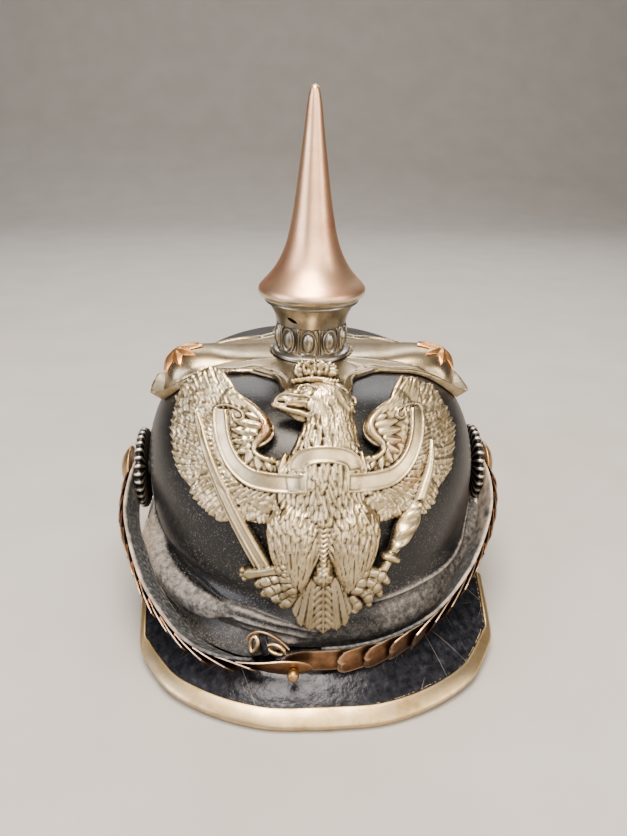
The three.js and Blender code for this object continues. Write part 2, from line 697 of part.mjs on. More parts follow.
// Height of the arm's upper face at the star's seat.
function armTop(along, across) {
  const k = Math.max(1, ARM_STATIONS.findIndex((row) => row.along >= along));
  const [from, to] = [ARM_STATIONS[k - 1], ARM_STATIONS[k]];
  const between = (name) => THREE.MathUtils.mapLinear(along, from.along, to.along, from[name], to[name]);
  const row = { halfWidth: between("halfWidth"), ridge: between("ridge"), swell: between("swell"), lip: 0 };
  return armHeight(row, across);
}

function starSolid(arm) {
  const ring = (scale, lift) => Array.from({ length: 2 * STAR_POINTS }, (_, i) => {
    const radius = (i % 2 ? STAR_NOTCH : STAR_TIP) * scale;
    const turn = (180 / STAR_POINTS) * i * DEGREE;
    const along = STAR_SEAT + radius * Math.cos(turn);
    const across = radius * Math.sin(turn);
    const crest = i % 2 ? 0.3 : 0.9;
    const out = armTop(along, across) + ARM_SEAT + STAR_CLEAR + lift * crest;
    return armSurface(arm, along * arm.length, across, out);
  });
  const seatOut = armTop(STAR_SEAT, 0) + ARM_SEAT;
  const seat = (lift) => armSurface(arm, STAR_SEAT * arm.length, 0, seatOut + lift);
  return loft([
    [seat(STAR_CLEAR)],
    ring(0.5, 0),
    ring(1, 0),
    ring(0.97, 1),
    ring(0.5, 1.6),
    [seat(STAR_CLEAR + 2.4)],
  ]);
}

function neckSolid() {
  let neck = body(turned(NECK_PROFILE, NECK_SEGMENTS));
  for (let i = 0; i < OVAL_COUNT; i++) {
    const turn = (360 * i) / OVAL_COUNT + OVAL_TURN;
    const oval = new THREE.SphereGeometry(1, 6, 3).rotateX(Math.PI / 2);
    oval.scale(OVAL_RISE, OVAL_HALF_WIDTH, OVAL_HALF_HEIGHT).translate(17.1, 0, OVAL_HEIGHT);
    neck = neck.add(body(oval.rotateZ(turn * DEGREE)));
  }
  const vent = new THREE.CylinderGeometry(VENT_RADIUS, VENT_RADIUS, 12, 10).rotateZ(Math.PI / 2);
  vent.translate(18, 0, VENT_HEIGHT).rotateZ(VENT_TURN * DEGREE);
  return fromBody(neck.subtract(body(vent)));
}

// Middle line of the eagle plate and the bend round the brow.
const plateLine = new THREE.QuadraticBezierCurve(
  new THREE.Vector2(PLATE_FOOT.back, PLATE_FOOT.height),
  new THREE.Vector2(PLATE_BELLY.back, PLATE_BELLY.height),
  new THREE.Vector2(PLATE_HEAD.back, PLATE_HEAD.height),
);
const plateLength = plateLine.getLength();

function onPlate(across, up, out) {
  const share = THREE.MathUtils.clamp(up / plateLength, 0, 1);
  const tangent = plateLine.getTangentAt(share);
  const spot = plateLine.getPointAt(share).addScaledVector(tangent, up - share * plateLength);
  const radius = PLATE_BEND + out * tangent.y;
  const turn = across / PLATE_BEND;
  return new THREE.Vector3(
    radius * Math.sin(turn),
    spot.x + PLATE_BEND - radius * Math.cos(turn),
    spot.y + out * tangent.x,
  );
}

function ridge(rows, mirror = 1, under = 0) {
  return loft(rows.map((row, k) => {
    const before = rows[Math.max(0, k - 1)];
    const after = rows[Math.min(rows.length - 1, k + 1)];
    const way = new THREE.Vector2(after.across - before.across, after.up - before.up).normalize();
    const section = [
      { side: -1, out: under },
      { side: -1, out: row.edge },
      { side: 0, out: row.crest },
      { side: 1, out: row.edge },
      { side: 1, out: under },
    ];
    return section.map(({ side, out }) => {
      const across = row.across - way.y * side * row.half;
      return onPlate(mirror * across, row.up + way.x * side * row.half, out);
    });
  }));
}

function onWing(wing, across, up, out) {
  const drop = wing.tipDrop * THREE.MathUtils.smoothstep(up, WING_TIP_FROM, WING_TIP_TO);
  return onPlate(wing.mirror * wing.spread * across, up - drop, out);
}

// A feather with a sharp quill along its middle, from its root to its tip.
function feather(wing, row, lift) {
  const way = new THREE.Vector2(row.tipAcross - row.rootAcross, row.tipUp - row.rootUp).normalize();
  const stations = [
    { share: 0.3, half: 0.8, quill: 1 },
    { share: 0.8, half: 1, quill: 1.4 },
    { share: 1, half: 0.3, quill: 0.6 },
  ];
  return loft(stations.map(({ share, half, quill }) => [-1, 0, 1].map((side) => {
    const aside = side * half * row.half;
    const across = THREE.MathUtils.lerp(row.rootAcross, row.tipAcross, share) - way.y * aside;
    const up = THREE.MathUtils.lerp(row.rootUp, row.tipUp, share) + way.x * aside;
    return onWing(wing, across, up, side === 0 ? lift + quill : -0.5);
  })));
}

function wingPanel(wing) {
  return loft(WING_ROWS.map((row) => {
    const spot = (share, out) => onWing(
      wing,
      THREE.MathUtils.lerp(row.inAcross, row.outAcross, share),
      THREE.MathUtils.lerp(row.inUp, row.outUp, share),
      out,
    );
    const shares = Array.from({ length: WING_ACROSS }, (_, i) => i / (WING_ACROSS - 1));
    const upper = shares.map((share) => spot(share, PLATE_TOP));
    const lower = shares.map((share) => spot(share, PLATE_UNDER));
    return [...upper, ...lower.reverse()];
  }));
}

function eaglePlate() {
  const elements = [ridge(BODY, 1, PLATE_UNDER), ridge(HEAD, 1, 0.2)];
  elements.push(ridge(BEAK_BELOW, 1, 0.1), ridge(CROWN, 1, 0.3));
  for (const wing of WINGS) {
    elements.push(wingPanel(wing), ridge(THIGHS, wing.mirror, -0.4));
    elements.push(ridge(RIBBON_ARM, wing.mirror, 0.1));
    FLIGHT_FEATHERS.forEach((row, i) => elements.push(feather(wing, row, 0.9 + 0.3 * (i % 2))));
  }
  const straight = { mirror: 1, spread: 1, tipDrop: 0 };
  TAIL_FEATHERS.forEach((row, i) => elements.push(feather(straight, row, 0.8 + 0.25 * i)));
  elements.push(ridge(SWORD_BLADE, 1, 0.2), ridge(SWORD_GUARD, 1, -0.2), ridge(SWORD_GRIP, 1, -0.3));
  elements.push(ridge(SCEPTRE, 1, -0.25), ridge(RIBBON_BREAST, 1, 0.4));
  return fromBody(joined(elements));
}

// Turned or fluted piece on the axis at the side of the skull.
function sidePiece(profile, segments, side) {
  return loft(profile.map((row) => {
    const count = row.radius === 0 ? 1 : segments;
    return Array.from({ length: count }, (_, i) => {
      const turn = (2 * Math.PI * i) / segments;
      const out = row.out + (row.flute && i % 2 ? -row.flute : 0);
      return new THREE.Vector3(
        side * out,
        -SIDE_AXIS.forward + row.radius * Math.cos(turn),
        SIDE_AXIS.height + row.radius * Math.sin(turn),
      );
    });
  }));
}

// Frame of a strap at a distance from its upper end: along the strap, up across it, and outward.
function strapTrack(strap) {
  const line = new THREE.CatmullRomCurve3(strap.path.map((row) => {
    return new THREE.Vector3(strap.side * row.across, -row.forward, row.height);
  }));
  const leans = new THREE.CatmullRomCurve3(strap.path.map((row) => {
    return new THREE.Vector3(row.lean, row.width, 0);
  }));
  const length = line.getLength();
  return {
    length,
    point(distance, up, out) {
      const share = THREE.MathUtils.clamp(distance / length, 0, 1);
      const along = line.getTangentAt(share);
      const form = leans.getPoint(line.getUtoTmapping(share));
      const level = new THREE.Vector3(along.y, -along.x, 0).multiplyScalar(-strap.side).normalize();
      const lean = form.x * DEGREE;
      const high = new THREE.Vector3().crossVectors(level, along).multiplyScalar(strap.side).normalize();
      if (high.z < 0) {
        high.negate();
      }
      const upward = high.clone().multiplyScalar(Math.cos(lean)).addScaledVector(level, Math.sin(lean));
      const outward = level.clone().multiplyScalar(Math.cos(lean)).addScaledVector(high, -Math.sin(lean));
      const front = strap.standoff * THREE.MathUtils.smoothstep(distance, length - 80, length - 40);
      const spot = line.getPointAt(share).addScaledVector(upward, up * form.y);
      return spot.addScaledVector(outward, out + front);
    },
  };
}

function strapSheet(track, rows, inner, outer) {
  return loft(rows.map((row) => [
    track.point(row.at, -row.half, inner(row)),
    track.point(row.at, row.half, inner(row)),
    track.point(row.at, row.half, outer(row)),
    track.point(row.at, -row.half, outer(row)),
  ]));
}

function strapPieces(strap) {
  const track = strapTrack(strap);
  const leatherEnd = track.length - (strap.side > 0 ? 16 : 46);
  const stations = Array.from({ length: STRAP_STATIONS }, (_, i) => ({
    at: (leatherEnd * i) / (STRAP_STATIONS - 1),
    half: 0.5,
  }));
  const face = STRAP_LEATHER / 2;
  place(`strap_leather_${strap.name}`, strapSheet(track, stations, () => -face, () => face), "strap_leather");

  for (let i = 0; i < strap.scales; i++) {
    const start = SCALE_START + SCALE_PITCH * i;
    const lift = (row) => face + GAP + SCALE_LIFT * (row.at - start);
    const rows = [
      { at: start, half: 0.5 },
      { at: start + 0.6 * SCALE_LENGTH, half: 0.5 },
      { at: start + 0.88 * SCALE_LENGTH, half: 0.34 },
      { at: start + SCALE_LENGTH, half: 0.1 },
    ];
    const label = String(i + 1).padStart(2, "0");
    const scale = strapSheet(track, rows, lift, (row) => lift(row) + SCALE_SHEET);
    place(`scale_${strap.name}_${label}`, scale, "scale_copper");
  }

  const start = SCALE_START + SCALE_PITCH * strap.scales;
  const length = Math.min(END_PLATE_LENGTH, track.length - start);
  const rows = [
    { at: start, half: 0.46 },
    { at: start + 0.33 * length, half: 0.46 },
    { at: start + 0.64 * length, half: 0.44 },
    { at: start + 0.85 * length, half: 0.36 },
    { at: start + 0.96 * length, half: 0.22 },
    { at: start + length, half: 0.08 },
  ];
  const seat = face + GAP + 0.05;
  place(`end_plate_${strap.name}`, strapSheet(track, rows, () => seat, () => seat + 0.65), "scale_copper");
  return track;
}

place("skull", skullShell(), "lacquered_leather");

const frontFrames = peakFrames(FRONT_PEAK_EDGE, true);
place("front_peak", peakLeather(frontFrames), "patent_leather");
place("front_peak_trim", levelled(peakTrim(frontFrames)), "edging_metal");
place("rear_peak", levelled(peakLeather(peakFrames(REAR_PEAK_EDGE, false))), "patent_leather");

place("cross_base", crossBase(), "nickel_silver");
for (const arm of ARMS.filter((row) => row.star)) {
  place(`star_${arm.name}`, starSolid(arm), "gilt_copper");
}
place("spike_neck", neckSolid(), "nickel_silver");
place("spike", turned(SPIKE_PROFILE, SPIKE_SEGMENTS), "nickel_silver");
place("eagle_plate", eaglePlate(), "cast_silver");

for (const [name, side] of [["right", 1], ["left", -1]]) {
  place(`cockade_${name}`, sidePiece(COCKADE_PROFILE, 2 * COCKADE_FLUTES, side), "cockade_enamel");
  place(`boss_${name}`, sidePiece(BOSS_PROFILE, BOSS_SEGMENTS, side), "scale_copper");
}

const [, leftTrack] = STRAPS.map(strapPieces);

// Ball stud on the left end plate.
const studFoot = leftTrack.point(leftTrack.length - 8, -0.14, STRAP_LEATHER / 2 + 2 * GAP + 1);
const studTop = leftTrack.point(leftTrack.length - 8, -0.14, STRAP_LEATHER / 2 + 2 * GAP + 6);
const studWay = studTop.clone().sub(studFoot).normalize();
const shank = new THREE.CylinderGeometry(STUD_SHANK, STUD_SHANK, 3.4, 8).translate(0, 1.7, 0);
const ball = new THREE.SphereGeometry(STUD_RADIUS, 10, 6).translate(0, 3.4, 0);
const stud = fromBody(joined([shank, ball]));
stud.applyQuaternion(new THREE.Quaternion().setFromUnitVectors(new THREE.Vector3(0, 1, 0), studWay));
place("closing_stud", stud.translate(studFoot.x, studFoot.y, studFoot.z), "gilt_copper");

// Open frame with a tongue, standing behind the strap.
const frameShape = new THREE.Shape();
frameShape.moveTo(-BUCKLE.width / 2, -BUCKLE.drop / 2);
frameShape.lineTo(BUCKLE.width / 2, -BUCKLE.drop / 2);
frameShape.lineTo(BUCKLE.width / 2, BUCKLE.drop / 2);
frameShape.lineTo(-BUCKLE.width / 2, BUCKLE.drop / 2);
const frameHole = new THREE.Path();
const holeX = BUCKLE.width / 2 - BUCKLE.bar;
const holeY = BUCKLE.drop / 2 - BUCKLE.bar;
frameHole.moveTo(-holeX, -holeY);
frameHole.lineTo(-holeX, holeY);
frameHole.lineTo(holeX, holeY);
frameHole.lineTo(holeX, -holeY);
frameShape.holes.push(frameHole);
const frame = new THREE.ExtrudeGeometry(frameShape, { depth: BUCKLE.sheet, bevelEnabled: false });
const tongue = new THREE.BoxGeometry(1.6, BUCKLE.drop - 0.6, 1).translate(0, 0, BUCKLE.sheet / 2);
const buckle = fromBody(joined([frame, tongue])).rotateX(Math.PI / 2 - 0.35).rotateZ(-0.16);
place("strap_buckle", buckle.translate(BUCKLE.across, -BUCKLE.forward, BUCKLE.height), "scale_copper");

export default helmet;
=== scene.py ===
"""Spiked leather officer's helmet with an eagle plate and a scaled chin strap, dressed over its solids."""

import math

import bpy
import numpy as np
from mathutils import Matrix


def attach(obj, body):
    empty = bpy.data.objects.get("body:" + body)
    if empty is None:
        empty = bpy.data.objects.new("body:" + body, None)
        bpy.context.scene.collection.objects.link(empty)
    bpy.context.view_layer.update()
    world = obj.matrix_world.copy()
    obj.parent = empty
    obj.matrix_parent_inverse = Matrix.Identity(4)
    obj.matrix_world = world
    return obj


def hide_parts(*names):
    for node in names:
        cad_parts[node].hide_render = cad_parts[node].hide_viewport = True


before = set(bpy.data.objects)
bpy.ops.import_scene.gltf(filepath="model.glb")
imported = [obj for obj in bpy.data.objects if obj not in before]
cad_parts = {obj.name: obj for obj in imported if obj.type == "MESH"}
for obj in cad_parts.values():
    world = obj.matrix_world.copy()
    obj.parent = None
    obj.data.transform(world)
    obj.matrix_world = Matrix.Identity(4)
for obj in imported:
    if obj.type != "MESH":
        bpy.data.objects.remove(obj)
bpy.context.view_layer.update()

MM = 0.001
SIDES = {"right": 1, "left": -1}

# Sizes in millimetres, as in the solids. The front looks along -Y and the spike stands on Z.
LEATHER = 2.4
GAP = 0.3

# Skull: height, half width, reach to the front, reach to the back.
SKULL_SQUARENESS = 2.15
SKULL_SECTIONS = [
    (22, 87.5, 109, 109), (28, 89.5, 110.5, 110.5), (35, 89.2, 109.5, 110), (42, 86.2, 106, 108.5),
    (58, 86.6, 103, 107), (78, 86.6, 97.2, 102.5), (95, 81.4, 88.5, 95), (108.5, 71.5, 77.5, 84.5),
    (117.8, 57, 62.5, 69.5), (121.6, 33, 36, 43), (122.5, 0, 0, 0),
]
# Large folds of the sagged leather: turn, spread, height, band, swell.
SKULL_FOLDS = [
    (-144, 28, 35.5, 5, 4.2), (-140, 30, 44, 4, -1.8), (-138, 26, 26, 4, -2.4), (-110, 14, 36, 4, 1.4),
    (-50, 26, 44.5, 4, 1.8), (-52, 28, 34, 6, -2),
]
# Sagged roll over the left temple: turn, height of the crease above it and of its hanging edge.
SAG_LINE = [
    (-178, 80, 56), (-166, 69, 42), (-157, 52, 34.5), (-149, 43.5, 32.5), (-139, 42, 30.5), (-128, 41.2, 30.5),
    (-119, 39.8, 34), (-109, 39.4, 37.6),
]
# Ridge over the right temple and wrinkles under the tail: turn and height.
RIDGE_LINE = [(-84, 42), (-72, 43), (-60, 44.3), (-44, 44), (-34, 46), (-27, 51), (-20, 62)]
# Millimetres out in front and what the temple adds, for the left roll and the right bulge; then the left shelf.
ROLL_OUT = (2.2, 4.4)
BULGE_OUT = (2.6, 4.2)
SHELF_HEIGHT, SHELF_OUT, SHELF_DROP = 28.8, 9.4, 2.4
# Rows of points up the skull, closest at the folds: first and last share of the rise, count.
SKULL_TOP_RISE = 0.985
SKULL_ROWS = [(0, 0.12, 50), (0.124, 0.5, 96), (0.508, SKULL_TOP_RISE, 40)]
WRINKLE_LINES = [
    [(-118, 39), (-108, 38), (-98, 35.4), (-88, 31)],
    [(-116, 36), (-106, 34.2), (-97, 31), (-90, 27.5)],
    [(-113, 32), (-103, 30), (-96, 26.5), (-92, 24)],
]

# Peaks: outer edge of the leather from the middle to the side, as across, reach, height.
PEAK_ROOT_HEIGHT = 22 - GAP
PEAK_ROOT_INSET = 3
PEAK_CROWN = 1.2
PEAK_STATIONS = 121
PEAK_STEPS = 34
FRONT_PEAK_SWEEP = 62
REAR_PEAK_SWEEP = 64
FRONT_PEAK_EDGE = [
    (0, 135.6, 3.1), (26, 133.8, 3.1), (50, 125.4, 3.8), (68, 113.6, 5), (77, 102, 6.4), (83, 91.8, 7.9),
    (83.9, 89.2, 8.8), (85.4, 76, 13.4), (87.2, 57, 18.6),
]
REAR_PEAK_EDGE = [
    (0, 137.05, 1.1), (28, 134.6, 1.1), (52, 125.6, 1.8), (70, 112.4, 4.2), (82, 95, 8.6), (88, 75, 14.6),
    (89, 54, 20.4),
]
TRIM_SHEET = 0.8
TRIM_WIDTHS = [(0, 7.6), (0.45, 6.8), (0.68, 5.4), (0.735, 4.8), (0.76, 3.2), (1, 2.8)]
TRIM_UNDER = 0.62

# Cross base: along the arm, half width, half width of its swelling, swell, lip.
ARM_SHEET = 1.3
ARM_SEAT = 0.55
ARM_STATIONS = [
    (16, 14, 11, 0.8, 0), (28, 20, 11, 1.4, 0), (42, 28, 11.5, 2.8, 0), (54, 22, 13, 6.2, 0.2),
    (63, 19.4, 14, 9.0, 0.8), (70, 18.4, 13.6, 8.8, 1.8), (75.5, 16.8, 11.6, 5.2, 2.8), (79.5, 14.6, 9.2, 1.4, 4.0),
    (84.5, 10, 5, 0, 6.4),
]
ARMS = {"right": (0, 1), "back": (90, 0.98), "left": (180, 1), "front": (-90, 0.72)}
WEB_REACH = 40
WEB_TOP = 1.6
CROWN_DISC_TOP = 124.2
STAR_SEAT = 65
STAR_LEAVES = 8
STAR_TIP = 10.6
STAR_LEAF_HALF = 2.35
STAR_HUB = 3.2
STAR_PITCH = 0.3
CROSS_LOW, CROSS_HIGH, CROSS_PITCH = (-88, -66), (88, 86), 0.6
CROSS_FILLET = 2.4
ARM_SECTOR = 60
NECK_SEAT_RADIUS = 21.4

# Turned pieces: radius and height, or radius and distance out from the middle plane.
NECK_RADIUS = 17.1
NECK_PROFILE = [
    (20.6, 124.5), (20.6, 125.8), (20.2, 126.4), (19.2, 126.9), (18.2, 127.1), (17.5, 127.5), (NECK_RADIUS, 128),
    (NECK_RADIUS, 140), (17.4, 140.5), (18, 141), (18.3, 142.6), (18.7, 144.4), (19.4, 146.4), (20.5, 148.4),
    (21.8, 150.4), (22.8, 151.6), (23.6, 151.7), (24, 152.2), (23.7, 152.7), (24.3, 153.1), (24.6, 153.6),
    (24.6, 154.4),
]
SPIKE_PROFILE = [
    (25, 154.6), (26.3, 155.1), (27.1, 156.3), (27.3, 157.7), (26.8, 159.3), (25.2, 161.2), (22, 164.6),
    (17.7, 170.4), (13.5, 179.6), (10.3, 193.1), (7.4, 212.9), (4.9, 231.8), (2.9, 246.6), (1.7, 250.4),
    (0.3, 251.2),
]
# The spike's rim is bare below the first height and frosted above the second.
SPIKE_BARE_RIM = (157, 158.6)
# Ovals and vent on the neck: turns in degrees, the slant in radians, the vent's oval in shares of its radius.
OVAL_COUNT = 10
OVAL_TURN = -98
OVAL_HEIGHT = 134
EGG_HALF = (4.15, 6.6)
VENT_RADIUS = 2
VENT_REACH = 18.5
VENT_HEIGHT = 145.2
VENT_TURN = -124
VENT_SLANT = -0.39
VENT_OVAL = (0.52, 1.4)
# Axis of the cockades and bosses: y and height.
SIDE_AXIS = (-8, 60)
COCKADE_PROFILE = [
    (6, 86.9), (6, 88.9), (19, 88.9), (20.8, 89.2), (21.5, 90.2), (21.3, 91.6), (20, 92.6), (17, 93), (14, 93.1),
    (9, 92.9), (3, 92.9),
]
BOSS_PROFILE = [
    (11.5, 97.2), (12, 97.6), (11.9, 98.2), (11.2, 98.8), (10.6, 99.4), (9.4, 100.4), (7.6, 101.5), (5, 102.4),
    (2.6, 102.9), (0.4, 103),
]

# Chin strap: across, forward, height, lean of the top edge outward, width.
STRAP_LEATHER = 1.8
SCALE_COUNT = 13
SCALE_PITCH = {"right": 11.1, "left": 10}
SCALE_LENGTH = 21
SCALE_LIFT = 0.06
SCALE_START = 10.4
SCALE_SHEET = 0.45
SCALE_RIM = 0.07
END_PLATE_LENGTH = 38
STRAP_PATHS = {
    "right": [
        (94.2, 4, 60, 2, 14.5),
        (94.4, 23, 56.2, 14, 15.2),
        (90, 43, 51, 26, 15.2),
        (82.5, 59.5, 45.5, 34, 14.8),
        (72.2, 76, 39, 38, 14.2),
        (61, 89.5, 32.8, 33, 13.6),
        (49.5, 100.5, 28, 21, 12.6),
        (34.5, 110, 25.8, 9, 11.8),
        (19, 115.6, 24.6, 1, 11.4),
        (3, 117.6, 24.2, -2, 11),
        (-17, 116.6, 24.2, -2, 11),
    ],
    "left": [
        (94.2, 4, 60, 2, 14.5),
        (94.4, 23, 56.2, 14, 15.2),
        (92.6, 44, 50.8, 26, 15.2),
        (86.4, 63.5, 44.6, 37, 14.8),
        (77.8, 82, 36.4, 45, 14.2),
        (68.2, 94, 30.2, 50, 13.6),
        (57, 103.6, 27, 54, 13),
        (43.5, 111.2, 26.2, 50, 12.2),
        (29, 116.2, 26, 34, 11.6),
        (16, 118.4, 25.8, 16, 11.2),
        (5, 119.2, 25.6, 8, 11),
    ],
}
STRAP_STANDOFF = {"right": 0, "left": 3.4}
STANDOFF_FROM_END = (80, 40)
STUD_FROM_END = 8
STRAP_SHORT_OF_END = {"right": 16, "left": 25}
# Pale patch at the top of each strap: dust with painted highlight, most on the right strap's inner face.
STRAP_DUST_AND_SHEEN = {"right": 1.35, "left": 0.6}


def smooth_step(value, low, high):
    """Share of the way from low to high, eased at both ends."""
    share = np.clip((value - low) / (high - low), 0, 1)
    return share * share * (3 - 2 * share)


def unit(vectors):
    """Vectors brought to length 1."""
    return vectors / np.linalg.norm(vectors, axis=-1, keepdims=True)


class SmoothLine:
    """Smooth open line through rows of numbers, read by share of its rows or of its length."""

    STEPS = 200

    def __init__(self, rows):
        self.rows = np.array(rows, float)
        self.shares = np.linspace(0, 1, self.STEPS + 1)
        steps = np.linalg.norm(np.diff(self.at(self.shares), axis=0), axis=1)
        self.marks = np.concatenate([[0], np.cumsum(steps)])
        self.length = self.marks[-1]

    def at(self, share):
        """Rows at a share of the rows."""
        rows = self.rows
        before = 2 * rows[0] - rows[1]
        after = 2 * rows[-1] - rows[-2]
        padded = np.vstack([before, rows, after])
        place = np.clip(np.asarray(share, float), 0, 1) * (len(rows) - 1)
        index = np.minimum(place.astype(int), len(rows) - 2)
        weight = (place - index)[..., None]
        p0, p1, p2, p3 = (padded[index + k] for k in range(4))
        d0, d1, d2 = (
            np.maximum(np.linalg.norm(b - a, axis=-1, keepdims=True) ** 0.5, 1e-4)
            for a, b in ((p0, p1), (p1, p2), (p2, p3))
        )
        t1 = ((p1 - p0) / d0 - (p2 - p0) / (d0 + d1) + (p2 - p1) / d1) * d1
        t2 = ((p2 - p1) / d1 - (p3 - p1) / (d1 + d2) + (p3 - p2) / d2) * d1
        c2 = -3 * p1 + 3 * p2 - 2 * t1 - t2
        c3 = 2 * p1 - 2 * p2 + t1 + t2
        return p1 + weight * (t1 + weight * (c2 + weight * c3))

    def share_at(self, distance):
        """Share of the rows at a distance along."""
        return np.interp(distance, self.marks, self.shares)

    def along(self, distance):
        """Rows at a distance along."""
        return self.at(self.share_at(distance))

    def tangent(self, distance):
        """Way of the line at a distance along."""
        share = self.share_at(distance)
        return unit(self.at(np.minimum(share + 1e-4, 1)) - self.at(np.maximum(share - 1e-4, 0)))


# Meshes


def linear(code):
    """Linear colour of an sRGB hex value."""
    parts = [int(code[i : i + 2], 16) / 255 for i in (0, 2, 4)]
    return tuple(c / 12.92 if c <= 0.04045 else ((c + 0.055) / 1.055) ** 2.4 for c in parts) + (1,)


def mesh_object(name, points, faces, material=None, attributes=None):
    """A smooth mesh from points in millimetres."""
    mesh = bpy.data.meshes.new(name)
    mesh.from_pydata((np.asarray(points) * MM).tolist(), [], faces)
    mesh.update()
    mesh.shade_smooth()
    for label, values in (attributes or {}).items():
        layer = mesh.attributes.new(label, "FLOAT", "POINT")
        layer.data.foreach_set("value", np.asarray(values, np.float32))
    made = bpy.data.objects.new(name, mesh)
    bpy.context.scene.collection.objects.link(made)
    if material:
        mesh.materials.append(material)
    return made


def finish_piece(made, slot, *nodes):
    """Attaches a finished piece to the root body and hides the solids it stands for; slot is not used."""
    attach(made, "root")
    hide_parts(*nodes)


def grid_faces(rows, columns, start=0, wrap=False):
    """Quads between the points of a grid, given row by row."""
    faces = []
    for i in range(rows - 1):
        for j in range(columns if wrap else columns - 1):
            a = start + i * columns + j
            b = start + i * columns + (j + 1) % columns
            faces.append((a, b, b + columns, a + columns))
    return faces


def loft(rings):
    """Closed skin through rings of points, with flat ends."""
    rings = np.asarray(rings)
    rows, columns = rings.shape[:2]
    faces = grid_faces(rows, columns, wrap=True)
    faces.append(tuple(range(columns))[::-1])
    faces.append(tuple(range((rows - 1) * columns, rows * columns)))
    return rings.reshape(-1, 3), faces


def sharpen(made, degrees):
    """Keeps edges over this angle crisp under smooth shading."""
    made.data.set_sharp_from_angle(angle=math.radians(degrees))


def plain_mesh(made):
    """Turns the piece's modifiers into plain mesh."""
    graph = bpy.context.evaluated_depsgraph_get()
    mesh = bpy.data.meshes.new_from_object(made.evaluated_get(graph))
    made.modifiers.clear()
    if made.type == "MESH":
        made.data = mesh
        return made
    name = made.name
    bpy.data.objects.remove(made)
    mesh.name = name
    plain = bpy.data.objects.new(name, mesh)
    bpy.context.scene.collection.objects.link(plain)
    return plain


def node(tree, kind, inputs=None, stops=None, **settings):
    """Adds a node with its settings; an input is a value, or another node's output to link."""
    made = tree.nodes.new(kind)
    for name, value in settings.items():
        setattr(made, name, value)
    for key, value in (inputs or {}).items():
        found = [s for s in made.inputs if s.identifier == key]
        socket = found[0] if found else made.inputs[key]
        if isinstance(value, bpy.types.NodeSocket):
            tree.links.new(value, socket)
        else:
            socket.default_value = value
    if stops:
        ramp = made.color_ramp.elements
        while len(ramp) < len(stops):
            ramp.new(1)
        for element, (place, code) in zip(ramp, stops):
            element.position = place
            element.color = linear(code)
    return made


# Materials


def per_mm(size):
    """Texture scale of a pattern with this size in millimetres."""
    return 1 / (size * MM)


def new_material(name, **shader):
    """A material with its shader's plain values set, and the shader and object coordinates to build on."""
    made = bpy.data.materials.new(name)
    made.use_nodes = True
    tree = made.node_tree
    bsdf = tree.nodes["Principled BSDF"]
    for label, value in shader.items():
        bsdf.inputs[label.replace("_", " ")].default_value = value
    coords = node(tree, "ShaderNodeTexCoord").outputs["Object"]
    return made, tree, bsdf, coords


def surface(tree, bsdf, colour, roughness, height, depth_mm):
    """Links a material's colour and roughness and presses its fine relief in."""
    relief = node(tree, "ShaderNodeBump", {"Height": height, "Distance": depth_mm * MM})
    for label, value in (("Base Color", colour), ("Roughness", roughness), ("Normal", relief.outputs["Normal"])):
        tree.links.new(value, bsdf.inputs[label])


